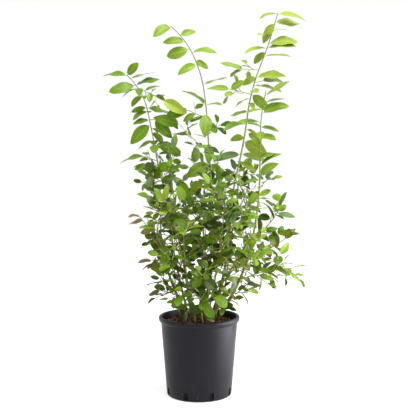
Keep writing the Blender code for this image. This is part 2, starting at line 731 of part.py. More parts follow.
def has_room(guard, surfaces):
    vertices, faces = guard
    if not is_above_soil(vertices):
        return False
    tree = BVHTree.FromPolygons(vertices, faces)
    return not any(surface.overlap(tree) for surface in surfaces)


def shapes_with_room(stem, sprays, others):
    """Shapes of the twigs and leaves that clear the other masses and, but for its bearer, their own."""
    chosen = []
    rows = []
    own = [(None, surface_of([tube(stem, STEM_SIDES)]))]
    for spray in sprays:
        if spray.twig is not None:
            if not has_room(twig_guard(spray.twig), [others]):
                continue
            chosen.append(tube(spray.twig, TWIG_SIDES))
            own.append((spray.twig, surface_of(chosen[-1:])))
        rows.append(spray)
    for twig, leaves in rows:
        for leaf in leaves:
            beside = [surface for bearer, surface in own if bearer is not twig]
            if has_room(leaf_guard(leaf), [others, *beside]):
                chosen.append(leaf_shape(leaf))
                own.append((leaf, surface_of(chosen[-1:])))
    return chosen


def fuse(holder, shapes):
    """One Boolean union of a stem with its twigs and leaves, applied."""
    growth = bpy.data.collections.new(holder.name + "_growth")
    bpy.context.scene.collection.children.link(growth)
    for number, shape in enumerate(shapes):
        mesh_object(holder.name + "_growth_" + str(number), shape, collection=growth)
    union = holder.modifiers.new("growth", "BOOLEAN")
    union.operation = "UNION"
    union.operand_type = "COLLECTION"
    union.collection = growth
    union.solver = "MANIFOLD"
    apply_modifier(holder, union)
    for piece in list(growth.objects):
        bpy.data.objects.remove(piece)
    bpy.data.collections.remove(growth)


def shell_from(first, remaining):
    """The connected faces round a first face, taken out of the remaining ones."""
    shell = [first]
    for face in shell:
        for edge in face.edges:
            for neighbour in edge.link_faces:
                if neighbour in remaining:
                    remaining.discard(neighbour)
                    shell.append(neighbour)
    return shell


def keep_main_shell(holder):
    """Drops loose scraps and fills hollows: only the largest shell of the fused mesh stays."""
    shape = bmesh.new()
    shape.from_mesh(holder.data)
    limit = math.radians(NEARLY_FLAT)
    bmesh.ops.dissolve_limit(shape, angle_limit=limit, verts=shape.verts, edges=shape.edges)
    bmesh.ops.triangulate(shape, faces=shape.faces)
    remaining = set(shape.faces)
    shells = []
    while remaining:
        shells.append(shell_from(remaining.pop(), remaining))
    shells.sort(key=len)
    scraps = [face for shell in shells[:-1] for face in shell]
    bmesh.ops.delete(shape, geom=scraps, context="FACES")
    shape.to_mesh(holder.data)
    shape.free()


def make_canes():
    """The bare parts of the canes; returns their shapes."""
    shapes = []
    for cane in CANES:
        shapes.append(tube(cane_limb(cane), CANE_SIDES))
        finish = material("bark_" + cane.name, BARK_BROWN, 0.7)
        mesh_object("cane_" + cane.name, shapes[-1], finish, smooth_angle=50)
    return shapes


def make_foliage(standing):
    """A mass at the end of each cane and one for each branch, clear of all that stands before it."""
    canes = {cane.name: cane for cane in CANES}
    masses = {"shoot_" + cane.name: grow_cane_end(cane) for cane in CANES}
    for branch in BRANCHES:
        masses["branch_" + branch.name] = grow_branch(branch, canes[branch.cane])
    stems = {name: tube(stem, STEM_SIDES) for name, (stem, _) in masses.items()}
    for name, (stem, sprays) in masses.items():
        other_stems = [shape for other, shape in stems.items() if other != name]
        shapes = shapes_with_room(stem, sprays, surface_of(standing + other_stems))
        standing = standing + shapes
        holder = mesh_object(name, stems[name], material("leaf_" + name, LEAF_GREEN, 0.5))
        fuse(holder, shapes)
        keep_main_shell(holder)


def main():
    for existing in list(bpy.data.objects):
        bpy.data.objects.remove(existing)
    make_pot()
    make_potting_mix()
    make_foliage(make_canes())


main()
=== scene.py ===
"""Potted highbush blueberry: the looks of the bush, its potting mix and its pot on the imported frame.

Metres, +Z up, the origin in the middle of the pot's flat underside, the front towards -Y. The growth
rule and its tables are the source's own, written again here, so each twig and leaf stands where its
solid stands. Finer twigs, smaller leaves, buds and bark relief are added within the same reach.
"""
import math
import random
from collections import namedtuple

import bmesh
import bpy
from mathutils import Matrix, Quaternion, Vector, noise
from mathutils.bvhtree import BVHTree


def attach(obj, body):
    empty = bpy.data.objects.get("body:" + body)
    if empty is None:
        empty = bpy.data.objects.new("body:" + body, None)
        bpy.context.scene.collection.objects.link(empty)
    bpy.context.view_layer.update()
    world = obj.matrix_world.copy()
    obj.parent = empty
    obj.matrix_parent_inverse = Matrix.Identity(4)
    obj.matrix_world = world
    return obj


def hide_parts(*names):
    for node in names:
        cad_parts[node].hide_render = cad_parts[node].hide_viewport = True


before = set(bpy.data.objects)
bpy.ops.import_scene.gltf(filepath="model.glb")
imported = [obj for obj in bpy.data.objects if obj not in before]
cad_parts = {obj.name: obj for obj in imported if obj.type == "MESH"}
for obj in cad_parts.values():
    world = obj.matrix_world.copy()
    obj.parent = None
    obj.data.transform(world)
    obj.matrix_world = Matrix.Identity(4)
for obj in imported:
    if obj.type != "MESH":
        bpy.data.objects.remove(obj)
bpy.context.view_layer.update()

# Camera: its place, how far it looks down, and its lens on a 36 mm wide frame
CAMERA_PLACE = (0.0226, -2.2, 0.655)
CAMERA_DOWN = 3.76
CAMERA_LENS = 70.8
CAMERA_FRAME = 36.0

# Pot
GAP = 0.0003
POT_HEIGHT = 0.216
RIM_RADIUS = 0.110
RIM_BAND = 0.0160
RIM_ROLL = 0.0042
RIM_LEDGE = 0.0090
WALL_TOP_RADIUS = 0.1040
WALL_FOOT_RADIUS = 0.0880
WALL = 0.0025
FLOOR = 0.0030
FOOT_ROUND = 0.0060
SLOTS = 8
SLOT_WIDTH = 0.0125
SLOT_FOOT = 0.0040
SLOT_HEAD = 0.0250

# Potting mix: level where the canes stand, lower where it meets the wall
SOIL_TOP = 0.205
SOIL_EDGE = 0.196
SOIL_LEVEL_RADIUS = 0.062

# Canes, stems and twigs: radii taper to the tip, and a cane swells a little at its foot
PATH_STEPS = 64
CANE_SIDES = 6
CANE_STEP = 0.050
CANE_TAPER = 1.15
FOOT_SWELL = 0.35
FOOT_SWELL_REACH = 0.012
STEM_SIDES = 4
STEM_STEP = 0.050
STEM_RADIUS = 0.0018
STEM_SHARE = 0.6
SHOULDER = 2.5
TIP_RADIUS = 0.0009
TWIG_SIDES = 3
TWIG_RINGS = 2
TWIG_RADIUS = 0.0013
TWIG_SHARE = 0.75
TWIG_TIP_RADIUS = 0.0007
TWIG_WANDER = 0.06

# Twigs of the bushy crown: where they stand on their stem, and their length as a share of it
TWIG_SPACING = 0.038
FIRST_TWIG = 0.18
LAST_TWIG = 0.86
LOWEST_TWIG_LENGTH = 0.50
HIGHEST_TWIG_LENGTH = 0.28
TWIG_LENGTH_RANGE = (0.85, 1.20)
TWIG_HEADING = 0.75
BUSHY_TWIG_RISE = 0.16
TALL_TWIG_RISE = 0.08

# Leaf sizes, with the widths as shares of the length. Along a limb they swell from the least share
# by up to the second one, as an arch that runs from the first to the last share of a half turn.
LEAF_LENGTH = 0.046
LEAF_WIDTH = 0.52
TALL_LEAF_LENGTH = 0.070
TALL_LEAF_WIDTH = 0.46
TALL_CANE = 0.6
SMALL_LEAF = 0.66
TWIG_LEAF = 0.95
END_LEAF = 0.90
ROW_LEAF = (0.80, 0.30)
ROW_SWELL = (0.20, 0.90)
LENGTH_RANGE = (0.88, 1.14)
WIDTH_RANGE = (0.86, 1.14)

# Leaf outline: shares of the length and of the width at two steps between root and tip
NEAR_STEP = 0.32
FAR_STEP = 0.70
NEAR_HALF_WIDTH = 0.46
FAR_HALF_WIDTH = 0.40
LEAF_ARCH = 0.055
FAR_ARCH = 0.9

# Leaf stance, in degrees except the sag and the turns, which are shares of an upright unit
LEAF_OPENING = (48.0, 72.0)
END_LEAF_OPENING = (8.0, 30.0)
LEAF_ROLL = 26.0
LEAF_SAG = 0.12
OUTWARD_TURN = (0.1, 1.2)
FRONT_TURN = (0.4, 1.3)
PLANNED_LEAF_TURN = 12.0
PLANNED_LEAF_ROLL = 9.0
LEAST_ACROSS = 0.2
LEAST_FACE = 0.1
LEVEL_PITCH = 5
PITCH_STEP = 15.0
STANCES = {"": 0.6, "o": 2.2, "e": 0.2, "u": -0.9}

# Spacing of leaves along a limb: starts as shares of the limb, turns in degrees
LEAF_SPACING = 0.0205
FIRST_ON_STEM = 0.12
FIRST_ON_TWIG = 0.30
FIRST_ON_TALL_TWIG = 0.28
LAST_ON_LIMB = 0.96
END_OF_LIMB = 0.99
GOLDEN_ANGLE = 137.5
TWIG_LEAF_TURN = 165.0
TALL_TWIG_LEAF_TURN = 180.0
TURN_WANDER = 14.0
PLAN_START = 0.002
PLAN_JOINT = 0.0115

# Clearance kept round each leaf and twig when it is chosen, short of its own root
KEEP_CLEAR = 0.0008
POT_CLEAR = 0.004
LEAF_ROOT = 0.16
TWIG_ROOT = 0.35

# A cane has its foot in the mix, the radius there and its length. Its leans are in degrees from
# upright at equal steps from foot to tip: sideways to +X, back to +Y. bare is the share of it below
# the foliage that ends it. plan gives the leaves of that foliage from the tip down, a word for each
# joint, with + between leaves that share one and a dot for a bare one: left, right, front or back in
# capitals for large leaves, the pitch from 1 hanging through 5 level to 9 rising, then o for a face
# open to the front, e for a blade seen on edge or u for one that shows its underside. With no plan
# the foliage is bushy. twigs gives the side twigs: share of the way up the foliage, the two leans,
# length, and a plan where the leaves stand out.
Cane = namedtuple("Cane", "name foot radius length sideways back bare plan twigs")

CANES = (
    Cane("tall_centre", (0.010, 0.020), 0.0038, 0.830,
         (12, 6, 2, -1, -4, -3, -8, -25, -50), (4, 3, 3, 4), 0.50,
         "L3o . . r6o . L5 . L4o R5 . r3o L3o . . . . R6e . . . . L7e+r5e . F1o+R6o+L6o l4 r2o . L2o . "
         "l6e F1o . . r4e . L3o+r3 b5",
         ((0.33, -72, -6, 0.056, "L4o r6 l3o . r3o l6e"), (0.10, -50, 6, 0.112, "L6o+l3o . . l5 . . b4"),
          (0.22, 58, -8, 0.040, None))),
    Cane("tall_right", (0.040, 0.004), 0.0040, 0.838, (16, 8, 4, 13, 7, 22, 14), (-5, -3, -2, 0), 0.50,
         "l4e+R4 . L1+R5 . r5e l5e . R5 L4e+R5 l2o R5e . l1+r7e l2o . R5+l3o . l5+R4e L8+f4o R2o+R6 l3e "
         "f3o L5+r6o l4 . . r4e+L4 r8o+R2e . l4o R3o . . L4o+R4 . r3+b5",
         ((0.63, -88, 0, 0.042, "L6+l3 . . R3o"), (0.55, 84, 0, 0.020, "R5+r6e"),
          (0.47, -76, -5, 0.060, "r7o+L5 . L6e . r3e"))),
    Cane("outer_right", (0.046, -0.012), 0.0042, 0.640, (35, 25, 14, 7, 0, 1, 14), (-12, -7, -3, 0), 0.56,
         "R6e R7e . R6e l4 R6+l6 . L5e r4+l6 f3 r4o . R7e+l8 . . r6 r8u R7+R6u . R7o l4 R6 b5",
         ((0.10, 44, -10, 0.050, None),)),
    Cane("tall_left", (-0.020, 0.016), 0.0038, 0.697, (-9, -8, -15, -17, -10, -12, -48), (6, 4, 2, 0), 0.50,
         "L5+r8o R6 . R6+L4o f3o+l3e l4e f4o+l2u . . l4o+R4 l3+b5 R5o l4 L2o b4 r2u R3o "
         "l3+b4 R4+f3o L4 R5 b4+l4 . R4o L5 f4 R4 b5",
         ((0.87, 116, -12, 0.080, "R3o+L1o . L3o R4o . r6 f3o"), (0.60, 84, 4, 0.072,
           "L2o+r3 . R4o r2o R6 R2o l4+R3o"),
          (0.27, -72, 0, 0.036, "L4e+L3 L3o"), (0.10, 26, -10, 0.100, None), (0.22, -48, 4, 0.060, None))),
    Cane("mid_left", (-0.012, -0.016), 0.0032, 0.480, (-9, -11, -9, -6, -2), (-6, -3, 0), 0.82,
         "R2o+l4 . l5 f2o L3o R5 b4 l3",
         ()),
    Cane("mid_centre", (0.024, -0.020), 0.0034, 0.490, (42, 12, -1, -6, -12, -24), (-8, -5, -2), 0.62,
         "l5+r3o . l6e . f2o f3o . R6 l4 . f3 R5 . l4o b5 R4",
         ((0.25, -44, -12, 0.065, None), (0.42, 46, 6, 0.060, None))),
    Cane("new_shoot", (-0.044, -0.006), 0.0020, 0.320, (-28, -8, -2, -4, -34, -54, -32), (-6, -4), 0.55,
         "l5e L4 . r7 l4o . R8o . l3 . r4",
         ()),
    Cane("woody_left", (-0.030, -0.026), 0.0046, 0.340, (-18, -24, -12, -6, 6), (-12, -12, -6), 0.56,
         None, None),
    Cane("back_left", (-0.030, 0.044), 0.0036, 0.420, (-16, -12, -8, -10), (15, 10, 5), 0.56, None, None),
    Cane("back_centre", (0.004, 0.050), 0.0038, 0.430, (-2, 4, 2, -4), (15, 10, 5, 2), 0.56, None, None),
    Cane("back_right", (0.034, 0.040), 0.0036, 0.420, (18, 14, 8, 6), (15, 9, 4), 0.56, None, None),
    Cane("front_left", (-0.012, -0.042), 0.0028, 0.340, (-10, -8, -2, 4), (-12, -12, -8), 0.14, None, None),
    Cane("front_right", (0.020, -0.040), 0.0028, 0.360, (12, 8, 4), (-10, -12, -6), 0.16, None, None),
    Cane("sprout", (0.010, -0.066), 0.0022, 0.140, (-6, 2, 6), (-14, -20), 0.12,
         "L2o+R2o . f1o L1o R1o . f2o L2o R2o . L1o+R1o",
         ((0.46, -58, -24, 0.048, "L2o R1o . L1o"), (0.38, 56, -24, 0.046, "R2o L1o . R1o"))),
)

# A branch is a mass of foliage from a cane's side: height is where it leaves the cane.
Branch = namedtuple("Branch", "name cane height length sideways back")

BRANCHES = (
    Branch("low_left", "woody_left", 0.285, 0.060, (-44, -20), (-14, -14)),
    Branch("left_edge", "new_shoot", 0.364, 0.055, (-80, -90), (0, 10)),
    Branch("left_outer", "tall_left", 0.460, 0.070, (-14, -4), (-38, -14)),
    Branch("left_upper", "mid_left", 0.560, 0.062, (-38, -50), (4, 8)),
    Branch("left_inner", "mid_left", 0.480, 0.100, (34, 14), (-34, -18)),
    Branch("left_middle", "mid_left", 0.430, 0.095, (-44, -24), (-4, 0)),
    Branch("left_rear", "tall_left", 0.380, 0.130, (-26, -18), (46, 26)),
    Branch("left_front", "mid_left", 0.370, 0.125, (-24, -8), (-48, -26)),
    Branch("left_deep", "mid_left", 0.300, 0.105, (-30, -16), (-22, -8)),
    Branch("centre_front", "tall_centre", 0.440, 0.125, (6, -4), (-42, -16)),
    Branch("centre_left", "tall_centre", 0.490, 0.085, (-55, -34), (-6, 0)),
    Branch("centre_high", "mid_centre", 0.430, 0.070, (6, 2), (46, 26)),
    Branch("centre_rear", "back_centre", 0.370, 0.130, (10, 4), (54, 30)),
    Branch("centre_low", "mid_centre", 0.330, 0.115, (-48, -20), (-24, -14)),
    Branch("centre_deep", "tall_centre", 0.330, 0.120, (30, 14), (24, 14)),
    Branch("right_inner", "tall_right", 0.445, 0.115, (40, 20), (-44, -20)),
    Branch("right_rear", "tall_right", 0.470, 0.105, (34, 20), (30, 18)),
    Branch("right_sweep", "outer_right", 0.325, 0.134, (64, 78, 88), (-6, -2)),
    Branch("right_low", "outer_right", 0.285, 0.055, (50, 40), (-14, -6)),
    Branch("right_side", "outer_right", 0.440, 0.106, (56, 24), (4, 6)),
    Branch("right_far", "outer_right", 0.382, 0.115, (72, 54), (14, 12)),
    Branch("right_front", "outer_right", 0.350, 0.115, (20, 8), (-50, -30)),
    Branch("right_close", "tall_right", 0.330, 0.130, (38, 20), (-18, -8)),
    Branch("back_right_low", "back_right", 0.300, 0.130, (46, 32), (34, 20)),
    Branch("back_left_low", "back_left", 0.300, 0.130, (-34, -24), (38, 22)),
    Branch("back_low", "back_centre", 0.255, 0.110, (14, 4), (50, 26)),
    Branch("front_left_low", "front_left", 0.230, 0.090, (-30, -10), (-40, -26)),
    Branch("front_right_low", "front_right", 0.232, 0.095, (54, 30), (-28, -20)),
    Branch("front_middle", "front_right", 0.246, 0.100, (-34, -6), (-16, -10)),
    Branch("front_low", "mid_centre", 0.262, 0.085, (-20, -8), (-46, -26)),
)

# Finer growth: short side twigs on each twig, with small leaves, closer together below LOW_CROWN
FINER_TWIG_SPACING = 0.0225
LOW_TWIG_SPACING = 0.0150
LOW_CROWN = 0.31
FINER_TWIG_LENGTH = (0.016, 0.034)
FINER_LEAF_LENGTH = 0.030
FINER_FIRST_TWIG = 0.30
FINER_FIRST_LEAF = 0.40

# Ends of canes that bear finer growth on their own stem too, as all the branches do
LEAFY_STEMS = (
    "shoot_sprout", "shoot_front_left", "shoot_front_right", "shoot_woody_left", "shoot_mid_centre",
)

# Bark relief, as shares of the radius; turns and waves are per radius round and per metre along
RIDGE_TURNS = 1.6
RIDGE_WAVES = 55.0
RIDGE_DEPTH = 0.16
FLAKE_TURNS = 3.5
FLAKE_WAVES = 260.0
FLAKE_DEPTH = 0.07
SMOOTH_BARK_DEPTH = 0.03
JOINT_SPACING = 0.024
JOINT_SWELLING = 0.14
JOINT_REACH = 0.0022
BUD_SIZE = 0.75
BUD_LIFT = 0.0014
BUD_REACH = 0.0019
BUD_SHARPNESS = 9.0
BUD_TURN = 57.0
LEAST_JOINT = 0.35

# Limbs in fine rings
BARK_SIDES = 16
BARK_STEP = 0.0030
BRANCH_BARK_SIDES = 10
BRANCH_BARK_STEPS = 12
BRANCH_WOODY_END = 0.2
BRANCH_BARK_START = 0.3
COLLAR_SINK = 0.0012
FINEST_TWIG = 0.00095
TWIG_ROUND_SIDES = 6
TWIG_ROUND_STEPS = 5

# Leaf blade: stations from the foot of its stalk on, columns from edge to edge, and the sides that
# have a finish each
STATIONS = (0.0, 0.035, 0.07, 0.12, 0.20, 0.31, 0.43, 0.56, 0.69, 0.81, 0.92)
COLUMNS = (-1.0, -0.55, -0.06, 0.06, 0.55, 1.0)
UPPER, BACK, MIDRIB, TIP = range(4)
STALK_END = 0.07
STALK_HALF_WIDTH = 0.00062
STALK_THICKNESS = 0.0010
BLADE_THICKNESS = 0.00034
TIP_START = 0.81
OVAL_OUTLINE = (0.60, 0.70)
POINTED_OUTLINE = (0.68, 0.92)
POINTED_BELOW = 0.48

# How blades vary: shares of the length or half width, and radians
ARCH = (0.030, 0.095)
FOLD = (0.05, 0.50)
CUP = (0.00, 0.20)
WAVE = (0.00, 0.16)
TWIST = (-0.60, 0.60)
TWIST_START = 0.3
SICKLE = (-0.035, 0.035)
PHASE = (0.0, 1.0)
WAVES_A_LEAF = 1.7

# Leaf colours: upper side, lower side and midrib
LEAF_COLOURS = {
    "lime": ("7d9328", "8c9c4a", "9aa856"),
    "fresh": ("6b8720", "7a903e", "8ca04a"),
    "mid": ("54750f", "677f22", "728c28"),
    "deep": ("3a5404", "5c7214", "5e7414"),
    # painted shade: a darker green dealt to leaves where the crown stands in shade
    "shade": ("243a02", "486008", "425a06"),
    "glaucous": ("547038", "748a58", "7e9358"),
    "bronze": ("565814", "6b682e", "7d6e2e"),
    "dried": ("766536", "807148", "86734a"),
}
TIP_BROWN = "66452a"
BROWN_TIP_SHARE = 0.10
BROWN_TIPS_BELOW = 0.62

# Leaf surfaces: roughness and gloss of each side, and the colour of the gloss. Cool tints shine more.
UPPER_SURFACE = (0.36, 0.28)
COOL_SURFACE = (0.36, 0.33)
BACK_SURFACE = (0.62, 0.06)
MIDRIB_SURFACE = (0.50, 0.10)
TIP_SURFACE = (0.70, 0.12)
LEAF_SHEEN = (0.86, 1.0, 0.60, 1.0)
COOL_SHEEN = (0.88, 1.0, 0.54, 1.0)
COOL_TINTS = ("deep", "shade", "glaucous")

# Tints of sprays by the height they grow at, in bands from a foot up: outer leaves, then inner ones.
# Darker tints low down and in the inner crown are painted shade; the lime and glaucous leaves among the
# low outer ones stand partly for light and gloss on leaves there, a painted highlight.
# Radius of the inner crown, whose leaves take the darker inner tints as painted shade
INNER_CROWN = 0.085
TINT_BANDS = (
    (0.00, "deep fresh shade mid deep bronze deep mid shade deep mid deep", "deep shade shade mid"),
    (0.32, "deep lime shade mid lime deep glaucous fresh mid deep fresh shade", "deep shade shade mid"),
    (0.42, "mid lime deep mid lime shade glaucous fresh deep fresh", "deep shade mid deep"),
    (0.58, "mid fresh mid deep fresh mid glaucous", "mid deep shade mid"),
    (0.76, "fresh mid fresh lime fresh mid fresh", "fresh mid fresh mid"),
    (0.90, "lime fresh fresh lime fresh", "lime fresh lime fresh"),
)
STRAY_TINT_SHARE = 0.35

# Bark colours from the foot of a limb to its tip, at the shares of its length below
BARK_STATIONS = (0.0, 0.07, 0.16, 0.34, 0.62, 1.0)
BARK_COLOURS = {
    "pale": ("5c4c2c", "787440", "8e9a50", "a3b05c", "8c9c4c", "5e7034"),
    "olive": ("54422a", "6a5e34", "7a783c", "8a9248", "869446", "677c38"),
    "woody": ("3c281b", "4c3020", "5b3e26", "654f2d", "6d6a34", "6f7d32"),
}
BARK_KINDS = {
    "tall_centre": "pale", "tall_right": "pale", "outer_right": "olive", "tall_left": "pale",
    "mid_left": "olive", "mid_centre": "pale", "new_shoot": "pale", "sprout": "pale",
    "front_left": "pale", "front_right": "olive", "back_centre": "olive",
}
WOODY_ENDS = {"pale": 0.16, "olive": 0.30, "woody": 0.70}
STREAK_SHADE = (0.62, 0.56, 0.50, 1.0)

# Twigs: their colours, and the colours dealt out from each height up. The pale colour stands partly for
# the light on lit twigs, a painted highlight.
TWIG_COLOURS = {
    "green": "879648", "olive": "74793f", "pale": "aab06a", "brown": "654630", "red": "74422e",
}
TWIG_BANDS = (
    (0.00, "brown olive pale red green olive"),
    (0.42, "olive pale green green brown"),
    (0.60, "green pale green olive"),
)

# Tints of the masses that stand out by their colour, such as the lime and the dried ones. The dark tints
# of the left masses are painted shade on that side, and the lime ones on the right partly painted light.
MASS_TINTS = {
    "branch_left_upper": "shade deep shade glaucous deep",
    "branch_left_outer": "deep shade mid glaucous deep",
    "branch_left_rear": "shade deep mid",
    "branch_right_front": "lime fresh lime fresh mid",
    "branch_right_side": "mid deep fresh glaucous mid fresh",
    "shoot_new_shoot": "mid bronze dried fresh dried",
    "branch_left_edge": "bronze dried mid",
    "branch_right_far": "mid bronze fresh mid deep dried",
    "branch_left_middle": "mid dried fresh bronze dried deep",
    "branch_right_close": "lime fresh lime mid",
    "branch_right_sweep": "fresh mid deep fresh glaucous",
}

# Pot in finer detail; the ledge runs out and up from the wall by shares of its own width and height
ROUND_SIDES = 192
WALL_RINGS = 6
CORNER_STEPS = 8
INNER_CORNER_STEPS = 6
LEDGE_BEND = ((0.55, 0.20), (0.88, 0.55), (1.0, 1.0))
SLOT_CUT_DEPTH = 0.02
SLOT_ROUND = 0.0016
SLOT_ROUND_STEPS = 4

# Pot surface. As cloudiness or height goes from the first value to the second one, roughness or the
# strength of the dust, on the lip's crest also a painted highlight, goes from the third to the fourth.
POT_ROUGHNESS = 0.42
CLOUDED_ROUGHNESS = (0.35, 0.65, 0.38, 0.46)
POT_GLOSS = 0.21
POT_SHEEN = (0.90, 0.90, 1.0, 1.0)
POT_BLACKS = ("09090c", "0f0e12")
DUST_AND_LIP_HIGHLIGHT_COLOUR = "6d655b"
DUST_AT_FOOT = (0.10, 0.0, 0.02, 0.14)
LIP_DUST_AND_HIGHLIGHT = (0.2125, 0.2155, 0.0, 0.35)
DUST_AND_LIP_HIGHLIGHT_ROUGHNESS = 0.5

# Potting mix: the near black it turns to where it stays wet, between two heights, which is also painted
# shade where the mix shows through the drain slots, and its lumps
MIX_RINGS = 40
MIX_MIDDLE = 0.0008
MIX_COLOURS = ("1c120c", "4a3020")
WET_MIX_AND_SLOT_SHADE = "0c0806"
WET_AND_SLOT_SHADE_HEIGHTS = (0.10, 0.18)
LUMP_WAVES = 95.0
LUMP_HEIGHT = 0.0022
LUMP_SINK = 0.0012
LUMP_FRACTAL = (0.9, 2.2, 4)

# Bark chips on the mix. Width and depth in the mix are shares of the length and the thickness, the
# top is that much smaller than the foot, and each kind has its count and two colours.
CHIP_SPREAD = 0.975
CHIP_LENGTH = (0.004, 0.013)
CHIP_WIDTH = (0.25, 0.7)
CHIP_THICKNESS = (0.0010, 0.0026)
CHIP_TILT = 0.28
CHIP_CORNERS = (5, 7)
CHIP_CORNER_SHIFT = (-0.25, 0.25)
CHIP_REST = (0.1, 0.9)
CHIP_TOP = 0.86
CHIP_KINDS = {
    "dark": (620, "1e130d", "3a2418"),
    "red": (560, "4a2614", "7a4526"),
    "tan": (150, "7d5a38", "a98358"),
}

# Greatest angles between faces that are still shaded as one surface, in degrees
SMOOTH_ANGLE = 40.0
SMOOTH_ANGLE_LEAF = 75.0
SMOOTH_ANGLE_MIX = 180.0
SMOOTH_ANGLE_CHIP = 30.0

# Light: the white room, and soft lights with their place, target, size and power
FLOOR_HALF = 5.0
FLOOR_COLOUR = "b8b8b8"
FLOOR_GLOW = 0.58
WORLD_STRENGTH = 1.0
LIGHT_COLOUR = (0.97, 0.97, 1.0)
LIGHTS = {
    "soft_top": ((0.4, -0.8, 3.0), (0.0, 0.0, 0.5), 1.5, 85.0),
    "soft_right": ((2.2, -0.9, 1.2), (0.0, 0.0, 0.3), 1.2, 30.0),
    "soft_left": ((-2.4, -0.9, 1.3), (0.0, 0.0, 0.4), 1.0, 5.0),
    "pot_side": ((0.66, -0.06, 0.12), (0.05, 0.0, 0.10), 0.60, 12.5),
}

# Directions, and the parts of a plant
UP = Vector((0.0, 0.0, 1.0))
FRONT = Vector((0.0, -1.0, 0.0))
RIGHT = Vector((1.0, 0.0, 0.0))
SIDE_DIRECTION = {"R": RIGHT, "L": -RIGHT, "F": FRONT, "B": -FRONT}

Limb = namedtuple("Limb", "points radii tangents")
Leaf = namedtuple("Leaf", "base along normal length width")

# A row of leaves with the twig that bears it, or None for leaves on the mass's own stem
Spray = namedtuple("Spray", "twig leaves")

# A mass of foliage as grown, and a leaf's blade with its own bends and whether its tip is brown
Mass = namedtuple("Mass", "name stem sprays")
Blade = namedtuple("Blade", "leaf tipped outline arch fold cup wave twist sickle phase")

# Faces of a leaf's solid, whose corners are those of leaf_points
LEAF_FACES = ((0, 1, 5), (1, 2, 4), (1, 4, 5), (2, 3, 4), (0, 5, 3), (5, 4, 3), (0, 3, 1), (1, 3, 2))


# The growth rule


def lerp(a, b, t):
    return a + (b - a) * t


def evenly(start, end, steps):
    """Values from start to end in so many equal steps."""
    return [lerp(start, end, step / steps) for step in range(steps + 1)]


def stepped(values, t):
    """The value a share t of the way along a row of equally spaced values."""
    place = min(max(t, 0.0), 1.0) * (len(values) - 1)
    left = min(int(place), len(values) - 2)
    return lerp(values[left], values[left + 1], place - left)


def lean_direction(sideways, back):
    side = math.radians(sideways)
    rear = math.radians(back)
    return Vector((math.sin(side) * math.cos(rear), math.sin(rear), math.cos(side) * math.cos(rear)))


def leaning_path(start, length, sideways, back):
    """Points along a limb whose lean changes evenly between the given leans."""
    points = [Vector(start)]
    for step in range(PATH_STEPS):
        t = (step + 0.5) / PATH_STEPS
        direction = lean_direction(stepped(sideways, t), stepped(back, t))
        points.append(points[-1] + direction * (length / PATH_STEPS))
    return points


def path_at(points, t):
    """Place and direction a share t of the way along an evenly stepped path."""
    place = min(max(t, 0.0), 1.0) * (len(points) - 1)
    left = min(int(place), len(points) - 2)
    along = (points[left + 1] - points[left]).normalized()
    return points[left].lerp(points[left + 1], place - left), along


def length_of(limb):
    return sum((b - a).length for a, b in zip(limb.points, limb.points[1:]))


def along_limb(limb, t):
    """Place, direction and radius a share t of the way along a limb."""
    wanted = t * length_of(limb)
    last = len(limb.points) - 2
    for index, (a, b) in enumerate(zip(limb.points, limb.points[1:])):
        length = (b - a).length
        if wanted <= length or index == last:
            share = min(wanted / length, 1.0)
            radius = lerp(limb.radii[index], limb.radii[index + 1], share)
            return a.lerp(b, share), (b - a).normalized(), radius
        wanted -= length


def sideways_from(along, azimuth):
    """Unit vector square to a limb: 0 degrees is its right seen from the front, 90 its back."""
    right = RIGHT - along * along.x
    if right.length < LEAST_ACROSS:
        right = -FRONT - along * along.y
    right.normalize()
    back = along.cross(right)
    if back.y < 0.0:
        back = -back
    turn = math.radians(azimuth)
    return right * math.cos(turn) + back * math.sin(turn)


def ring_faces(low, high, sides):
    """Side faces between two rings of vertices, given the first vertex of each ring."""
    return [
        (low + side, low + (side + 1) % sides, high + (side + 1) % sides, high + side)
        for side in range(sides)
    ]


def end_faces(count, sides):
    """The flat faces that close the first and the last ring of a shape of count vertices."""
    return [tuple(reversed(range(sides))), tuple(range(count - sides, count))]


def lathe(profile, sides):
    """A turned solid; the profile runs from the lower flat to the upper one."""
    vertices = []
    faces = []
    for ring, (radius, height) in enumerate(profile):
        for side in range(sides):
            turn = 2 * math.pi * (side + 0.5) / sides
            vertices.append(Vector((radius * math.cos(turn), radius * math.sin(turn), height)))
        if ring:
            faces += ring_faces((ring - 1) * sides, ring * sides, sides)
    return vertices, faces + end_faces(len(vertices), sides)


def no_relief(_angle, _height, _along):
    return 0.0


def tube(limb, sides, relief=no_relief):
    """A closed tapering tube along a limb, whose skin stands out by a relief in shares of the radius."""
    across = limb.tangents[0].orthogonal().normalized()
    vertices = []
    faces = []
    height = 0.0
    for ring, (point, radius, tangent) in enumerate(zip(*limb)):
        if ring:
            height += (point - limb.points[ring - 1]).length
            faces += ring_faces((ring - 1) * sides, ring * sides, sides)
        along = ring / (len(limb.points) - 1)
        across = (across - tangent * across.dot(tangent)).normalized()
        other = tangent.cross(across)
        for side in range(sides):
            angle = 2 * math.pi * side / sides
            outward = across * math.cos(angle) + other * math.sin(angle)
            vertices.append(point + outward * radius * (1.0 + relief(angle, height, along)))
    return vertices, faces + end_faces(len(vertices), sides)


def mean_tangents(points):
    """At each point the direction from the point before it to the one after it."""
    before = points[:1] + points[:-1]
    after = points[1:] + points[-1:]
    return [(b - a).normalized() for a, b in zip(before, after)]


def cane_path(cane):
    return leaning_path((*cane.foot, SOIL_TOP + GAP), cane.length, cane.sideways, cane.back)


def cane_radius(cane, t):
    swell = FOOT_SWELL * cane.radius * math.exp(-t * cane.length / FOOT_SWELL_REACH)
    return lerp(TIP_RADIUS, cane.radius, (1.0 - t) ** CANE_TAPER) + swell


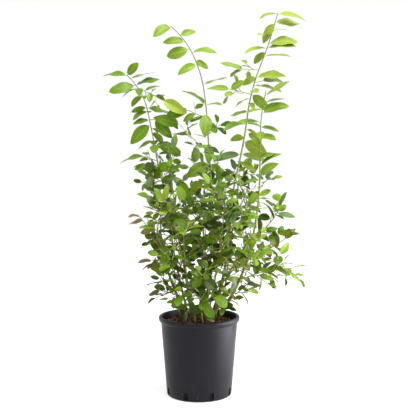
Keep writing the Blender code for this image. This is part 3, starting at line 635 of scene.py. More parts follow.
def cane_rings(cane, places, foot_tangent):
    """Rings of a cane at shares of its length, the first of them square to foot_tangent."""
    path = cane_path(cane)
    points, tangents = zip(*[path_at(path, t) for t in places])
    return Limb(points, [cane_radius(cane, t) for t in places], [foot_tangent, *tangents[1:]])


def cane_limb(cane):
    """The bare part of a cane as a few rings, cut level at the soil."""
    rings = max(4, round(cane.length * cane.bare / CANE_STEP))
    swell_end = FOOT_SWELL_REACH / cane.length
    return cane_rings(cane, [0.0, *evenly(swell_end, cane.bare, rings)], UP)


def stem_of_cane(cane):
    """The leafy end of a cane, as the stem of its own mass, just clear of the bare part."""
    start = cane.bare + GAP / cane.length
    steps = max(4, round(cane.length * (1.0 - start) / STEM_STEP))
    _, foot_tangent = path_at(cane_path(cane), cane.bare)
    return cane_rings(cane, evenly(start, 1.0, steps), foot_tangent)


def cane_at_height(cane, height):
    """Place, direction and radius of the bare part of a cane at a height."""
    limb = cane_limb(cane)
    for ring in range(1, len(limb.points)):
        below, above = limb.points[ring - 1], limb.points[ring]
        if above.z >= height:
            share = (height - below.z) / (above.z - below.z)
            radius = lerp(limb.radii[ring - 1], limb.radii[ring], share)
            return below.lerp(above, share), (above - below).normalized(), radius
    raise ValueError("the bare part of " + cane.name + " doesn't reach that height")


def stem_of_branch(branch, cane):
    """A side branch's stem, which starts square to the cane and just clear of its bark."""
    point, along, radius = cane_at_height(cane, branch.height)
    heading = lean_direction(branch.sideways[0], branch.back[0])
    outward = (heading - along * heading.dot(along)).normalized()
    start = point + outward * (radius + GAP)
    thickness = min(STEM_RADIUS, radius * STEM_SHARE)
    shoulder = start + outward * thickness * SHOULDER
    path = leaning_path(shoulder, branch.length, branch.sideways, branch.back)
    steps = max(3, round(branch.length / STEM_STEP))
    points, tangents = zip(*[path_at(path, t) for t in evenly(0.0, 1.0, steps)])
    bend = (outward + tangents[0]).normalized()
    radii = evenly(thickness, TIP_RADIUS, steps)
    return Limb([start, *points], [thickness, *radii], [outward, bend, *tangents[1:]])


def away_from_axis(rng, base):
    """A leaf of the bushy crown turns outward by a varying amount."""
    away = Vector((base.x, base.y, 0.0))
    return away.normalized() * rng.uniform(*OUTWARD_TURN)


def to_front_or_back(rng, _base):
    """A leaf of a tall shoot turns to the front, and one in three to the back."""
    return FRONT * rng.choice((1.0, 1.0, -1.0)) * rng.uniform(*FRONT_TURN)


def leaf_facing(rng, base, direction, lit_from, roll, length, width):
    """A leaf along a direction that turns its face up and towards lit_from."""
    face = UP + lit_from
    face -= direction * face.dot(direction)
    if face.length < LEAST_FACE:
        face = direction.orthogonal()
    face.normalize()
    face = Quaternion(direction, math.radians(rng.gauss(0.0, roll))) @ face
    size = length * rng.uniform(*LENGTH_RANGE)
    return Leaf(base, direction, face, size, size * width * rng.uniform(*WIDTH_RANGE))


def leaf_at(rng, place, outward, opening, length, width, lit_from):
    """A leaf that opens from its limb and sags a little."""
    base, along, _ = place
    angle = math.radians(opening)
    direction = along * math.cos(angle) + outward * math.sin(angle)
    direction.z -= LEAF_SAG
    return leaf_facing(rng, base, direction.normalized(), lit_from, LEAF_ROLL, length, width)


def twig_from(rng, stem, t, direction, length, rise):
    """A thin side twig that leaves the stem's axis and bends upward."""
    point, _, radius = along_limb(stem, t)
    points = [point]
    for _ in range(TWIG_RINGS):
        points.append(points[-1] + direction * (length / TWIG_RINGS))
        wander = Vector([rng.gauss(0.0, TWIG_WANDER) for _ in range(3)])
        direction = (direction + UP * rise + wander).normalized()
    thick = min(radius * TWIG_SHARE, TWIG_RADIUS)
    return Limb(points, evenly(thick, TWIG_TIP_RADIUS, TWIG_RINGS), mean_tangents(points))


def bushy_twig(rng, stem, t, azimuth, length):
    """A side twig of the bushy crown, at a turn round its stem."""
    _, along, _ = along_limb(stem, t)
    heading = (along * TWIG_HEADING + sideways_from(along, azimuth)).normalized()
    return twig_from(rng, stem, t, heading, length, BUSHY_TWIG_RISE)


def row_leaf(t):
    """Size of the leaf a share t of the way along a limb, as a share of the full one."""
    least, swell = ROW_LEAF
    return least + swell * math.sin(math.pi * lerp(*ROW_SWELL, t))


def leaves_on(rng, limb, length, width, first, spread, turned):
    """Alternate leaves up a limb, from the share first of its length, with one at its end."""
    count = max(1, round(length_of(limb) * (1.0 - first) / LEAF_SPACING))
    starts = [lerp(first, LAST_ON_LIMB, index / count) for index in range(count)]
    row = [(t, row_leaf(t), LEAF_OPENING) for t in starts]
    leaves = []
    azimuth = rng.uniform(0.0, 360.0)
    for t, share, opening in [*row, (END_OF_LIMB, END_LEAF, END_LEAF_OPENING)]:
        if leaves:
            azimuth += spread + rng.gauss(0.0, TURN_WANDER)
        place = along_limb(limb, t)
        outward = sideways_from(place[1], azimuth)
        lit_from = turned(rng, place[0])
        leaf = leaf_at(rng, place, outward, rng.uniform(*opening), length * share, width, lit_from)
        leaves.append(leaf)
    return leaves


def planned_leaf(rng, base, word, length, width):
    """A leaf from its word in a plan: its side and size, its pitch, and how it shows itself."""
    turn = Matrix.Rotation(math.radians(rng.gauss(0.0, PLANNED_LEAF_TURN)), 3, "Z")
    pitch = math.radians((int(word[1]) - LEVEL_PITCH) * PITCH_STEP)
    direction = turn @ SIDE_DIRECTION[word[0].upper()] * math.cos(pitch) + UP * math.sin(pitch)
    size = length * (1.0 if word[0].isupper() else SMALL_LEAF)
    return leaf_facing(rng, base, direction, FRONT * STANCES[word[2:]], PLANNED_LEAF_ROLL, size, width)


def planned_leaves(rng, stem, plan, length, width):
    """The leaves of a plan, joint by joint from the tip down."""
    leaves = []
    reach = length_of(stem)
    for joint, words in enumerate(plan.split()):
        base, _, _ = along_limb(stem, 1.0 - (PLAN_START + joint * PLAN_JOINT) / reach)
        if words != ".":
            leaves += [planned_leaf(rng, base, word, length, width) for word in words.split("+")]
    return leaves


def bushy_sprays(rng, stem, reach):
    """Twigs and leaves round a stem of the lower crown, turning by the golden angle."""
    sprays = []
    azimuth = rng.uniform(0.0, 360.0)
    count = max(2, round(reach / TWIG_SPACING))
    for index in range(count):
        t = lerp(FIRST_TWIG, LAST_TWIG, index / (count - 1))
        share = lerp(LOWEST_TWIG_LENGTH, HIGHEST_TWIG_LENGTH, t)
        length = reach * share * rng.uniform(*TWIG_LENGTH_RANGE)
        twig = bushy_twig(rng, stem, t, azimuth, length)
        size = LEAF_LENGTH * TWIG_LEAF
        row = leaves_on(rng, twig, size, LEAF_WIDTH, FIRST_ON_TWIG, TWIG_LEAF_TURN, away_from_axis)
        sprays.append(Spray(twig, row))
        azimuth += GOLDEN_ANGLE
    row = leaves_on(rng, stem, LEAF_LENGTH, LEAF_WIDTH, FIRST_ON_STEM, GOLDEN_ANGLE, away_from_axis)
    return sprays + [Spray(None, row)]


def planned_sprays(rng, stem, cane):
    """The leaves of a cane's plan, and its side twigs with theirs."""
    tall = cane.length > TALL_CANE
    size = TALL_LEAF_LENGTH if tall else LEAF_LENGTH
    width = TALL_LEAF_WIDTH if tall else LEAF_WIDTH
    turned = to_front_or_back if tall else away_from_axis
    sprays = [Spray(None, planned_leaves(rng, stem, cane.plan, size, width))]
    for share, sideways, back, length, plan in cane.twigs:
        twig = twig_from(rng, stem, share, lean_direction(sideways, back), length, TALL_TWIG_RISE)
        if plan is None:
            row = leaves_on(rng, twig, LEAF_LENGTH, width, FIRST_ON_TALL_TWIG, TALL_TWIG_LEAF_TURN, turned)
        else:
            row = planned_leaves(rng, twig, plan, size, width)
        sprays.append(Spray(twig, row))
    return sprays


def grow_cane_end(cane):
    rng = random.Random(cane.name)
    stem = stem_of_cane(cane)
    if cane.plan is None:
        return stem, bushy_sprays(rng, stem, cane.length * (1.0 - cane.bare))
    return stem, planned_sprays(rng, stem, cane)


def grow_branch(branch, cane):
    rng = random.Random(branch.name)
    stem = stem_of_branch(branch, cane)
    return stem, bushy_sprays(rng, stem, branch.length)


def leaf_side(leaf):
    """Unit vector from a leaf's midline to its left edge."""
    return leaf.normal.cross(leaf.along).normalized()


def leaf_arch(leaf):
    """How far the edges of a leaf stand over the line from its root to its tip."""
    return leaf.normal * leaf.length * LEAF_ARCH


def leaf_points(leaf):
    """Root, right edge at two steps, tip, and left edge at the same steps on the way back."""
    arch = leaf_arch(leaf)
    near_half = leaf_side(leaf) * leaf.width * NEAR_HALF_WIDTH
    far_half = leaf_side(leaf) * leaf.width * FAR_HALF_WIDTH
    near = leaf.base + leaf.along * leaf.length * NEAR_STEP + arch
    far = leaf.base + leaf.along * leaf.length * FAR_STEP + arch * FAR_ARCH
    tip = leaf.base + leaf.along * leaf.length
    return [leaf.base, near - near_half, far - far_half, tip, far + far_half, near + near_half]


def leaf_shape(leaf):
    return leaf_points(leaf), LEAF_FACES


def leaf_guard(leaf):
    """A slightly larger closed shape round a leaf, short of its root, to test its room."""
    root, right, far_right, tip, far_left, left = leaf_points(leaf)
    side = leaf_side(leaf) * KEEP_CLEAR
    lift = leaf.normal * KEEP_CLEAR
    arch = leaf_arch(leaf)
    far_arch = arch * FAR_ARCH
    root = root + leaf.along * leaf.length * LEAF_ROOT
    outline = [
        root - side,
        right - side - arch,
        far_right - side - far_arch,
        tip + leaf.along * KEEP_CLEAR,
        far_left + side - far_arch,
        left + side - arch,
        root + side,
    ]
    lower = [point - lift for point in outline]
    upper = [point + arch + lift for point in outline]
    count = len(outline)
    faces = ring_faces(0, count, count) + [tuple(range(count)), tuple(range(count, 2 * count))]
    return upper + lower, faces


def twig_guard(twig):
    """A slightly thicker copy of a twig, short of its root, to test its room."""
    points = [twig.points[0].lerp(twig.points[1], TWIG_ROOT)] + twig.points[1:]
    radii = [radius + KEEP_CLEAR for radius in twig.radii]
    return tube(Limb(points, radii, mean_tangents(points)), 2 * TWIG_SIDES)


def joined(shapes):
    """Several shapes as one list of vertices and one of faces."""
    vertices = []
    faces = []
    for shape_vertices, shape_faces in shapes:
        offset = len(vertices)
        vertices += shape_vertices
        faces += [tuple(offset + index for index in face) for face in shape_faces]
    return vertices, faces


def surface_of(shapes):
    """One search tree over the faces of several shapes, to test other shapes against."""
    return BVHTree.FromPolygons(*joined(shapes))


def is_above_soil(vertices):
    """Foliage stays above the pot's rim, or inside the pot above the mix."""
    for v in vertices:
        over_mix = math.hypot(v.x, v.y) < WALL_TOP_RADIUS - 2 * WALL
        if v.z < (SOIL_TOP if over_mix else POT_HEIGHT) + POT_CLEAR:
            return False
    return True


def has_room(guard, surfaces):
    """Whether a guard stays above the soil and clear of the surfaces."""
    if not is_above_soil(guard[0]):
        return False
    tree = BVHTree.FromPolygons(*guard)
    return not any(surface.overlap(tree) for surface in surfaces)


# Pieces and materials


def linear(code):
    """A colour written as in a paint chart, six hex digits, as linear red, green, blue and alpha."""
    shares = [int(code[place:place + 2], 16) / 255 for place in (0, 2, 4)]
    channels = [
        share / 12.92 if share <= 0.04045 else ((share + 0.055) / 1.055) ** 2.4 for share in shares
    ]
    return (*channels, 1.0)


def shaded(colour, share):
    """A linear colour made darker or lighter."""
    return (*[min(channel * share, 1.0) for channel in colour[:3]], 1.0)


class Finish:
    """A material being made: its Principled shader and the nodes that feed it."""

    def __init__(self, name, roughness, **sockets):
        self.made = bpy.data.materials.new(name)
        self.made.use_nodes = True
        self.tree = self.made.node_tree
        self.shader = self.tree.nodes["Principled BSDF"]
        self.set(Roughness=roughness, **sockets)

    def set(self, **sockets):
        for socket, value in sockets.items():
            self.shader.inputs[socket.replace("_", " ")].default_value = value

    def node(self, kind, inputs=(), **settings):
        made = self.tree.nodes.new("ShaderNode" + kind)
        for setting, value in settings.items():
            setattr(made, setting, value)
        for socket, value in dict(inputs).items():
            if isinstance(value, bpy.types.NodeSocket):
                self.tree.links.new(value, made.inputs[socket])
            else:
                made.inputs[socket].default_value = value
        return made

    def math(self, operation, *values):
        return self.node("Math", dict(enumerate(values)), operation=operation).outputs[0]

    def mapped(self, value, low, high, to_low=0.0, to_high=1.0):
        """value, as it runs from low to high, turned smoothly into a run from to_low to to_high."""
        inputs = {0: value, 1: low, 2: high, 3: to_low, 4: to_high}
        return self.node("MapRange", inputs, interpolation_type="SMOOTHSTEP").outputs[0]

    def height(self):
        """Height over the object's origin."""
        place = self.node("TexCoord").outputs["Object"]
        return self.node("SeparateXYZ", {0: place}).outputs[2]

    def noise(self, scale, detail=3.0, roughness=0.55, stretch=(1.0, 1.0, 1.0)):
        """Noise fixed to the object; scale is in waves per metre."""
        place = self.node("TexCoord").outputs["Object"]
        place = self.node("Mapping", {"Vector": place, "Scale": stretch}).outputs[0]
        inputs = {"Vector": place, "Scale": scale, "Detail": detail, "Roughness": roughness}
        return self.node("TexNoise", inputs).outputs["Fac"]

    def mix(self, share, first, second, blend="MIX"):
        """A colour between two, each a socket or a linear colour."""
        inputs = {0: share, 6: first, 7: second}
        return self.node("Mix", inputs, data_type="RGBA", blend_type=blend).outputs[2]

    def feed(self, socket, value):
        self.tree.links.new(value, self.shader.inputs[socket])

    def mottle(self, pattern, code, darkest, lightest):
        """A base colour that runs with a pattern between a darker and a lighter shade of one colour."""
        shades = [shaded(linear(code), share) for share in (darkest, lightest)]
        self.feed("Base Color", self.mix(pattern, *shades))

    def bump(self, height, distance, strength):
        inputs = {"Height": height, "Distance": distance, "Strength": strength}
        self.feed("Normal", self.node("Bump", inputs).outputs[0])


def added(name, data):
    """A new object in the scene."""
    made = bpy.data.objects.new(name, data)
    bpy.context.scene.collection.objects.link(made)
    return made


def make_piece(
    name, shape, finishes, slot, replaced, face_finish=None, along=None, smooth_angle=SMOOTH_ANGLE
):
    """A piece of the object from vertices and faces, riding on the one body.

    face_finish says which finish each face has, and along how far up its limb each vertex stands.
    """
    vertices, faces = shape
    mesh = bpy.data.meshes.new(name)
    mesh.from_pydata([tuple(v) for v in vertices], [], faces)
    for finish in finishes:
        mesh.materials.append(finish)
    if face_finish is not None:
        mesh.polygons.foreach_set("material_index", face_finish)
    if along is not None:
        mesh.attributes.new("along", "FLOAT", "POINT").data.foreach_set("value", along)
    mesh.shade_smooth()
    mesh.set_sharp_from_angle(angle=math.radians(smooth_angle))
    made = added(name, mesh)
    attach(made, "root")
    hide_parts(*replaced)
    return made


def make_joined(name, row, finishes, slot, **more):
    """One piece from a row of shapes, each given with the node that it replaces."""
    nodes = sorted({node for node, _ in row})
    make_piece(name, joined([shape for _, shape in row]), finishes, slot, nodes, **more)


# Limbs with bark


def smooth_points(points, steps):
    """A smooth row of points through the given ones, with so many steps between each pair."""
    ends = [points[0] * 2 - points[1], *points, points[-1] * 2 - points[-2]]
    smooth = []
    for before, a, b, after in zip(ends, ends[1:], ends[2:], ends[3:]):
        for step in range(steps):
            t = step / steps
            smooth.append(
                a
                + (b - before) * (t / 2)
                + (before * 2 - a * 5 + b * 4 - after) * (t * t / 2)
                + (a * 3 - before - b * 3 + after) * (t ** 3 / 2)
            )
    return smooth + [points[-1].copy()]


def smooth_limb(limb, steps, sunk=0.0):
    """A limb in finer rings; sunk starts it that far inside what bears it."""
    points = smooth_points(list(limb.points), steps)
    radii = [stepped(limb.radii, index / (len(points) - 1)) for index in range(len(points))]
    if sunk:
        start = points[0] - limb.tangents[0] * sunk
        points.insert(0, start)
        radii.insert(0, radii[0])
    return Limb(points, radii, mean_tangents(points))


def bark_relief(angle, height, along, woody, seed):
    """How far bark stands out at a place on a cane, as a share of its radius."""
    round_about = Vector((math.cos(angle), math.sin(angle), 0.0))
    ridges = noise.noise(round_about * RIDGE_TURNS + UP * (height * RIDGE_WAVES + seed))
    flakes = noise.noise(round_about * FLAKE_TURNS + UP * (height * FLAKE_WAVES - seed))
    roughness = woody * (ridges * RIDGE_DEPTH + flakes * FLAKE_DEPTH) + ridges * SMOOTH_BARK_DEPTH
    joint = round(height / JOINT_SPACING)
    off_joint = (height / JOINT_SPACING - joint) * JOINT_SPACING
    swelling = JOINT_SWELLING * math.exp(-((off_joint / JOINT_REACH) ** 2))
    facing = max(math.cos(angle - math.radians(joint * GOLDEN_ANGLE + seed * BUD_TURN)), 0.0)
    bud = BUD_SIZE * math.exp(-(((off_joint - BUD_LIFT) / BUD_REACH) ** 2)) * facing ** BUD_SHARPNESS
    return roughness + (swelling + bud) * (LEAST_JOINT + (1.0 - LEAST_JOINT) * along)


def bark_limb(limb, sides, woody_end, seed):
    """A limb in bark, woody below the share woody_end of its length, and each vertex's share of it."""
    def relief(angle, height, along):
        woody = min(max(1.0 - along / woody_end, 0.0), 1.0)
        return bark_relief(angle, height, along, woody, seed)

    shares = [share for share in evenly(0.0, 1.0, len(limb.points) - 1) for _ in range(sides)]
    return tube(limb, sides, relief), shares


# Growth with room, then finer growth


def growth_with_room(stem, sprays, others):
    """The sprays of a mass with only the twigs and leaves that have room, and their shapes."""
    shapes = []
    kept = []
    own = [(None, surface_of([tube(stem, STEM_SIDES)]))]
    for twig, leaves in sprays:
        if twig is not None:
            if not has_room(twig_guard(twig), [others]):
                continue
            shapes.append(tube(twig, TWIG_SIDES))
            own.append((twig, surface_of(shapes[-1:])))
        kept.append(Spray(twig, list(leaves)))
    for twig, leaves in kept:
        for leaf in list(leaves):
            beside = [surface for bearer, surface in own if bearer is not twig]
            if has_room(leaf_guard(leaf), [others, *beside]):
                shapes.append(leaf_shape(leaf))
                own.append((leaf, surface_of(shapes[-1:])))
            else:
                leaves.remove(leaf)
    return kept, shapes


def finer_sprays(rng, mass, crown):
    """Short side twigs with small leaves on a mass's twigs and leafy stem, where the crown has room."""
    sprays = []
    shapes = []
    own = []
    bearers = [twig for twig, _ in mass.sprays if twig is not None]
    if mass.name.startswith("branch_") or mass.name in LEAFY_STEMS:
        bearers.append(mass.stem)
    for twig in bearers:
        spacing = LOW_TWIG_SPACING if twig.points[0].z < LOW_CROWN else FINER_TWIG_SPACING
        count = max(1, round(length_of(twig) / spacing))
        azimuth = rng.uniform(0.0, 360.0)
        for index in range(count):
            t = lerp(FINER_FIRST_TWIG, LAST_TWIG, index / count)
            finer = bushy_twig(rng, twig, t, azimuth, rng.uniform(*FINER_TWIG_LENGTH))
            azimuth += GOLDEN_ANGLE
            row = leaves_on(
                rng, finer, FINER_LEAF_LENGTH, LEAF_WIDTH, FINER_FIRST_LEAF, TWIG_LEAF_TURN, away_from_axis
            )
            if not has_room(twig_guard(finer), [crown, *own]):
                continue
            kept = []
            for leaf in row:
                if has_room(leaf_guard(leaf), [crown, *own]):
                    kept.append(leaf)
                    shapes.append(leaf_shape(leaf))
                    own.append(surface_of(shapes[-1:]))
            shapes.append(tube(finer, TWIG_SIDES))
            own.append(surface_of(shapes[-1:]))
            sprays.append(Spray(finer, kept))
    return sprays, shapes


def grow_masses():
    """Every mass with the twigs and leaves of its solid, then with the finer ones that find room."""
    canes = {cane.name: cane for cane in CANES}
    growth = {"shoot_" + cane.name: grow_cane_end(cane) for cane in CANES}
    for branch in BRANCHES:
        growth["branch_" + branch.name] = grow_branch(branch, canes[branch.cane])
    stems = {name: tube(stem, STEM_SIDES) for name, (stem, _) in growth.items()}
    standing = [tube(cane_limb(cane), CANE_SIDES) for cane in CANES]
    masses = []
    for name, (stem, sprays) in growth.items():
        other_stems = [shape for other, shape in stems.items() if other != name]
        kept, shapes = growth_with_room(stem, sprays, surface_of(standing + other_stems))
        standing += shapes
        masses.append(Mass(name, stem, kept))
    standing += stems.values()
    for mass in masses:
        sprays, shapes = finer_sprays(random.Random(mass.name + " finer"), mass, surface_of(standing))
        standing += shapes
        mass.sprays.extend(sprays)
    return masses


# Leaf blades


def half_width(along, outline):
    """Half of a blade's width at a station, as a share of its greatest."""
    if along <= STALK_END or along >= 1.0:
        return 0.0
    low, high = outline
    widest = low / (low + high)
    share = (along - STALK_END) / (1.0 - STALK_END)
    return (share / widest) ** low * ((1.0 - share) / (1.0 - widest)) ** high


def blade_from(rng, leaf, tipped):
    """A leaf's blade with its own bend, fold and twist."""
    outline = POINTED_OUTLINE if leaf.width < POINTED_BELOW * leaf.length else OVAL_OUTLINE
    bends = [rng.uniform(*span) for span in (ARCH, FOLD, CUP, WAVE, TWIST, SICKLE, PHASE)]
    return Blade(leaf, tipped, outline, *bends)


def blade_vertices(blade):
    """The upper side of a blade with its stalk, then the inner columns of its lower side, then its tip."""
    leaf = blade.leaf
    side = leaf_side(leaf)
    upper = []
    lower = []
    for station in STATIONS:
        rise = 4.0 * blade.arch * station * (1.0 - station)
        bend = blade.sickle * math.sin(math.pi * station)
        middle = leaf.base + (leaf.along * station + leaf.normal * rise + side * bend) * leaf.length
        stalk = max(0.0, 1.0 - station / (2 * STALK_END))
        half = max(half_width(station, blade.outline) * leaf.width / 2, STALK_HALF_WIDTH * stalk)
        turn = Quaternion(leaf.along, blade.twist * (station - TWIST_START))
        slope = 4.0 * blade.arch * (1.0 - 2.0 * station)
        normal = turn @ (leaf.normal - leaf.along * slope).normalized()
        across = turn @ side
        wave = blade.wave * math.sin(2 * math.pi * (WAVES_A_LEAF * station + blade.phase))
        under = normal * lerp(BLADE_THICKNESS, STALK_THICKNESS, stalk)
        for column in COLUMNS:
            edge = abs(column)
            lift = edge * (blade.fold - blade.cup * edge + wave * column)
            point = middle + (across * column + normal * lift) * half
            upper.append(point)
            if edge < 1.0:
                lower.append(point - under)
    return upper + lower + [leaf.base + leaf.along * leaf.length]


def blade_faces():
    """Faces of a blade, and the side that each is on."""
    rows = len(STATIONS)
    columns = len(COLUMNS)
    inner = columns - 2
    beneath = rows * columns
    tip = beneath + rows * inner

    def under(row, column):
        if column in (0, columns - 1):
            return row * columns + column
        return beneath + row * inner + column - 1

    faces = []
    sides = []
    for row, station in enumerate(STATIONS):
        for column in range(columns - 1):
            over = (row * columns + column, row * columns + column + 1)
            below = (under(row, column + 1), under(row, column))
            if row < rows - 1:
                faces.append((*over, over[1] + columns, over[0] + columns))
                faces.append((*below, under(row + 1, column), under(row + 1, column + 1)))
            else:
                faces.append((*over, tip))
                faces.append((*below, tip))
            upper = MIDRIB if column == columns // 2 - 1 else UPPER
            sides += [TIP, TIP] if station >= TIP_START else [upper, BACK]
    foot = [under(0, column) for column in range(1, columns - 1)]
    faces.append((*reversed(range(columns)), *foot))
    sides.append(BACK)
    return faces, sides


# Finishes


def leaf_finishes(tint):
    """The upper side, the lower side, the midrib and a brown tip of one tint."""
    cool = tint in COOL_TINTS
    upper, lower, midrib = LEAF_COLOURS[tint]
    surfaces = {
        "leaf_": (upper, COOL_SURFACE if cool else UPPER_SURFACE),
        "leaf_back_": (lower, BACK_SURFACE),
        "leaf_midrib_": (midrib, MIDRIB_SURFACE),
        "leaf_tip_": (TIP_BROWN, TIP_SURFACE),
    }
    sheen = COOL_SHEEN if cool else LEAF_SHEEN
    return [leaf_finish(side + tint, *look, sheen) for side, look in surfaces.items()]


def leaf_finish(name, colour, surface, sheen):
    """A leaf surface of one colour, faintly mottled, with fine relief."""
    roughness, gloss = surface
    finish = Finish(name, roughness, Specular_IOR_Level=gloss, Specular_Tint=sheen)
    finish.mottle(finish.noise(scale=90.0, detail=2.0), colour, darkest=0.92, lightest=1.08)
    finish.bump(finish.noise(scale=140.0, detail=1.0), distance=0.00012, strength=0.2)
    return finish.made


def bark_finish(kind):
    """Bark that turns from woody brown at the foot to green at the tip, streaked along the limb."""
    finish = Finish("bark_" + kind, roughness=0.62, Specular_IOR_Level=0.25)
    along = finish.node("Attribute", attribute_name="along").outputs["Fac"]
    ramp = finish.node("ValToRGB", {"Fac": along})
    stops = ramp.color_ramp.elements
    for station in BARK_STATIONS[1:-1]:
        stops.new(station)
    for stop, code in zip(stops, BARK_COLOURS[kind]):
        stop.color = linear(code)
    streaks = finish.noise(scale=420.0, detail=4.0, stretch=(1.0, 1.0, 0.18))
    shade = finish.mapped(streaks, low=0.35, high=0.65)
    darker = finish.mix(1.0, ramp.outputs["Color"], STREAK_SHADE, blend="MULTIPLY")
    finish.feed("Base Color", finish.mix(shade, darker, ramp.outputs["Color"]))
    finish.bump(streaks, distance=0.0003, strength=0.6)
    return finish.made


def twig_finish(name, colour):
    finish = Finish("twig_" + name, roughness=0.60, Specular_IOR_Level=0.2)
    pattern = finish.noise(scale=260.0)
    finish.mottle(pattern, colour, darkest=0.75, lightest=1.2)
    finish.bump(pattern, distance=0.0002, strength=0.5)
    return finish.made


def pot_finish():
    """Black moulded plastic: fine grain, faint scuffs low down, and a dusty lip whose crest is also a
    painted highlight.
    """
    finish = Finish("pot_black", POT_ROUGHNESS, Specular_IOR_Level=POT_GLOSS, Specular_Tint=POT_SHEEN)
    height = finish.height()
    grain = finish.noise(scale=1400.0, detail=2.0)
    cloud = finish.noise(scale=22.0, detail=4.0)
    scuffs = finish.noise(scale=160.0, detail=5.0, roughness=0.7, stretch=(1.0, 1.0, 0.35))
    scuffed = finish.mapped(scuffs, low=0.52, high=0.78)
    foot = finish.math("MULTIPLY", scuffed, finish.mapped(height, *DUST_AT_FOOT))
    clouded = finish.mapped(cloud, low=0.45, high=0.62)
    # painted highlight: the lip's crest is painted lighter, partly as dust
    lip = finish.math("MULTIPLY", clouded, finish.mapped(height, *LIP_DUST_AND_HIGHLIGHT))
    dust_and_lip_highlight = finish.math("ADD", foot, lip)
    black = finish.mix(cloud, *[linear(code) for code in POT_BLACKS])
    finish.feed("Base Color", finish.mix(dust_and_lip_highlight, black, linear(DUST_AND_LIP_HIGHLIGHT_COLOUR)))
    rough = finish.mapped(cloud, *CLOUDED_ROUGHNESS)
    finish.feed("Roughness", finish.math("ADD", rough, finish.math("MULTIPLY", dust_and_lip_highlight, DUST_AND_LIP_HIGHLIGHT_ROUGHNESS)))
    finish.bump(grain, distance=0.00006, strength=0.5)
    return finish.made


def crumb_finish(name, dark, light):
    """Damp crumbs or chips in two shades of one colour, near black below the top: damp, and painted shade
    behind the drain slots.
    """
    finish = Finish(name, roughness=0.85, Specular_IOR_Level=0.25)
    grain = finish.noise(scale=300.0, detail=5.0, roughness=0.65)
    # painted shade: near black low down, seen through the drain slots, as well as damp
    damp_and_shade_fade = finish.mapped(finish.height(), *WET_AND_SLOT_SHADE_HEIGHTS)
    crumbs = finish.mix(finish.mapped(grain, low=0.3, high=0.7), linear(dark), linear(light))
    finish.feed("Base Color", finish.mix(damp_and_shade_fade, linear(WET_MIX_AND_SLOT_SHADE), crumbs))
    finish.bump(grain, distance=0.0012, strength=0.8)
    return finish.made


def floor_finish():
    """A plain white floor that glows enough to stay white in the shade, as on a light table."""
    finish = Finish("floor_white", roughness=0.9, Base_Color=linear(FLOOR_COLOUR))
    finish.set(Emission_Color=(1.0, 1.0, 1.0, 1.0), Emission_Strength=FLOOR_GLOW)
    return finish.made


# Pot and potting mix


def arc(centre_radius, centre_height, radius, start, end, steps):
    """Points of a round corner in a profile, from start to end in degrees."""
    angles = [math.radians(angle) for angle in evenly(start, end, steps)]
    return [
        (centre_radius + radius * math.cos(angle), centre_height + radius * math.sin(angle))
        for angle in angles
    ]


def wall_radius(height):
    """Outer radius of the plain tapered wall at a height."""
    return lerp(WALL_FOOT_RADIUS, WALL_TOP_RADIUS, height / (POT_HEIGHT - RIM_BAND))


def inner_radius(height):
    """Inner radius of the wall, from the floor up to the rolled rim."""
    share = (height - FLOOR) / (POT_HEIGHT - RIM_ROLL - FLOOR)
    return lerp(wall_radius(FLOOR) - WALL, WALL_TOP_RADIUS - WALL, share)


def make_pot():
    """The pot in fine rings, with a rounded ledge under the rim's band and a rolled lip."""
    band_foot = POT_HEIGHT - RIM_BAND
    roll_centre = POT_HEIGHT - RIM_ROLL
    profile = arc(wall_radius(FOOT_ROUND) - FOOT_ROUND, FOOT_ROUND, FOOT_ROUND, -90, 0, CORNER_STEPS)
    for height in evenly(FOOT_ROUND, band_foot, WALL_RINGS)[1:]:
        profile.append((wall_radius(height), height))
    ledge = RIM_RADIUS - wall_radius(band_foot)
    for outward, upward in LEDGE_BEND:
        profile.append((wall_radius(band_foot) + ledge * outward, band_foot + RIM_LEDGE * upward))
    profile += arc(RIM_RADIUS - RIM_ROLL, roll_centre, RIM_ROLL, 0, 90, CORNER_STEPS)
    inner_centre = inner_radius(roll_centre) + RIM_ROLL
    profile += arc(inner_centre, roll_centre, RIM_ROLL, 90, 180, INNER_CORNER_STEPS)
    profile.append((inner_radius(FLOOR), FLOOR))
    pot = make_piece("plant_pot", lathe(profile, ROUND_SIDES), [pot_finish()], "pot_plastic", ["pot"])
    cutter = drain_cutter()
    cut = pot.modifiers.new("drain_slots", "BOOLEAN")
    cut.operation = "DIFFERENCE"
    cut.solver = "EXACT"
    cut.object = cutter
    bpy.context.view_layer.update()
    shape = bpy.data.meshes.new_from_object(pot.evaluated_get(bpy.context.evaluated_depsgraph_get()))
    pot.modifiers.clear()
    pot.data = shape
    bpy.data.objects.remove(cutter)
    shape.set_sharp_from_angle(angle=math.radians(SMOOTH_ANGLE))


def drain_cutter():
    """Eight blocks with rounded edges that cut the drain slots through the foot of the wall."""
    shape = bmesh.new()
    middle_height = (SLOT_FOOT + SLOT_HEAD) / 2
    size = Matrix.Diagonal((SLOT_CUT_DEPTH, SLOT_WIDTH, SLOT_HEAD - SLOT_FOOT, 1.0))
    for slot in range(SLOTS):
        turn = Matrix.Rotation(2 * math.pi * (slot + 0.5) / SLOTS, 4, "Z")
        place = Matrix.Translation((wall_radius(middle_height), 0.0, middle_height))
        bmesh.ops.create_cube(shape, size=1.0, matrix=turn @ place @ size)
    bmesh.ops.bevel(
        shape, geom=shape.edges, offset=SLOT_ROUND, segments=SLOT_ROUND_STEPS, affect="EDGES"
    )
    mesh = bpy.data.meshes.new("drain_cutter")
    shape.to_mesh(mesh)
    shape.free()
    return added("drain_cutter", mesh)


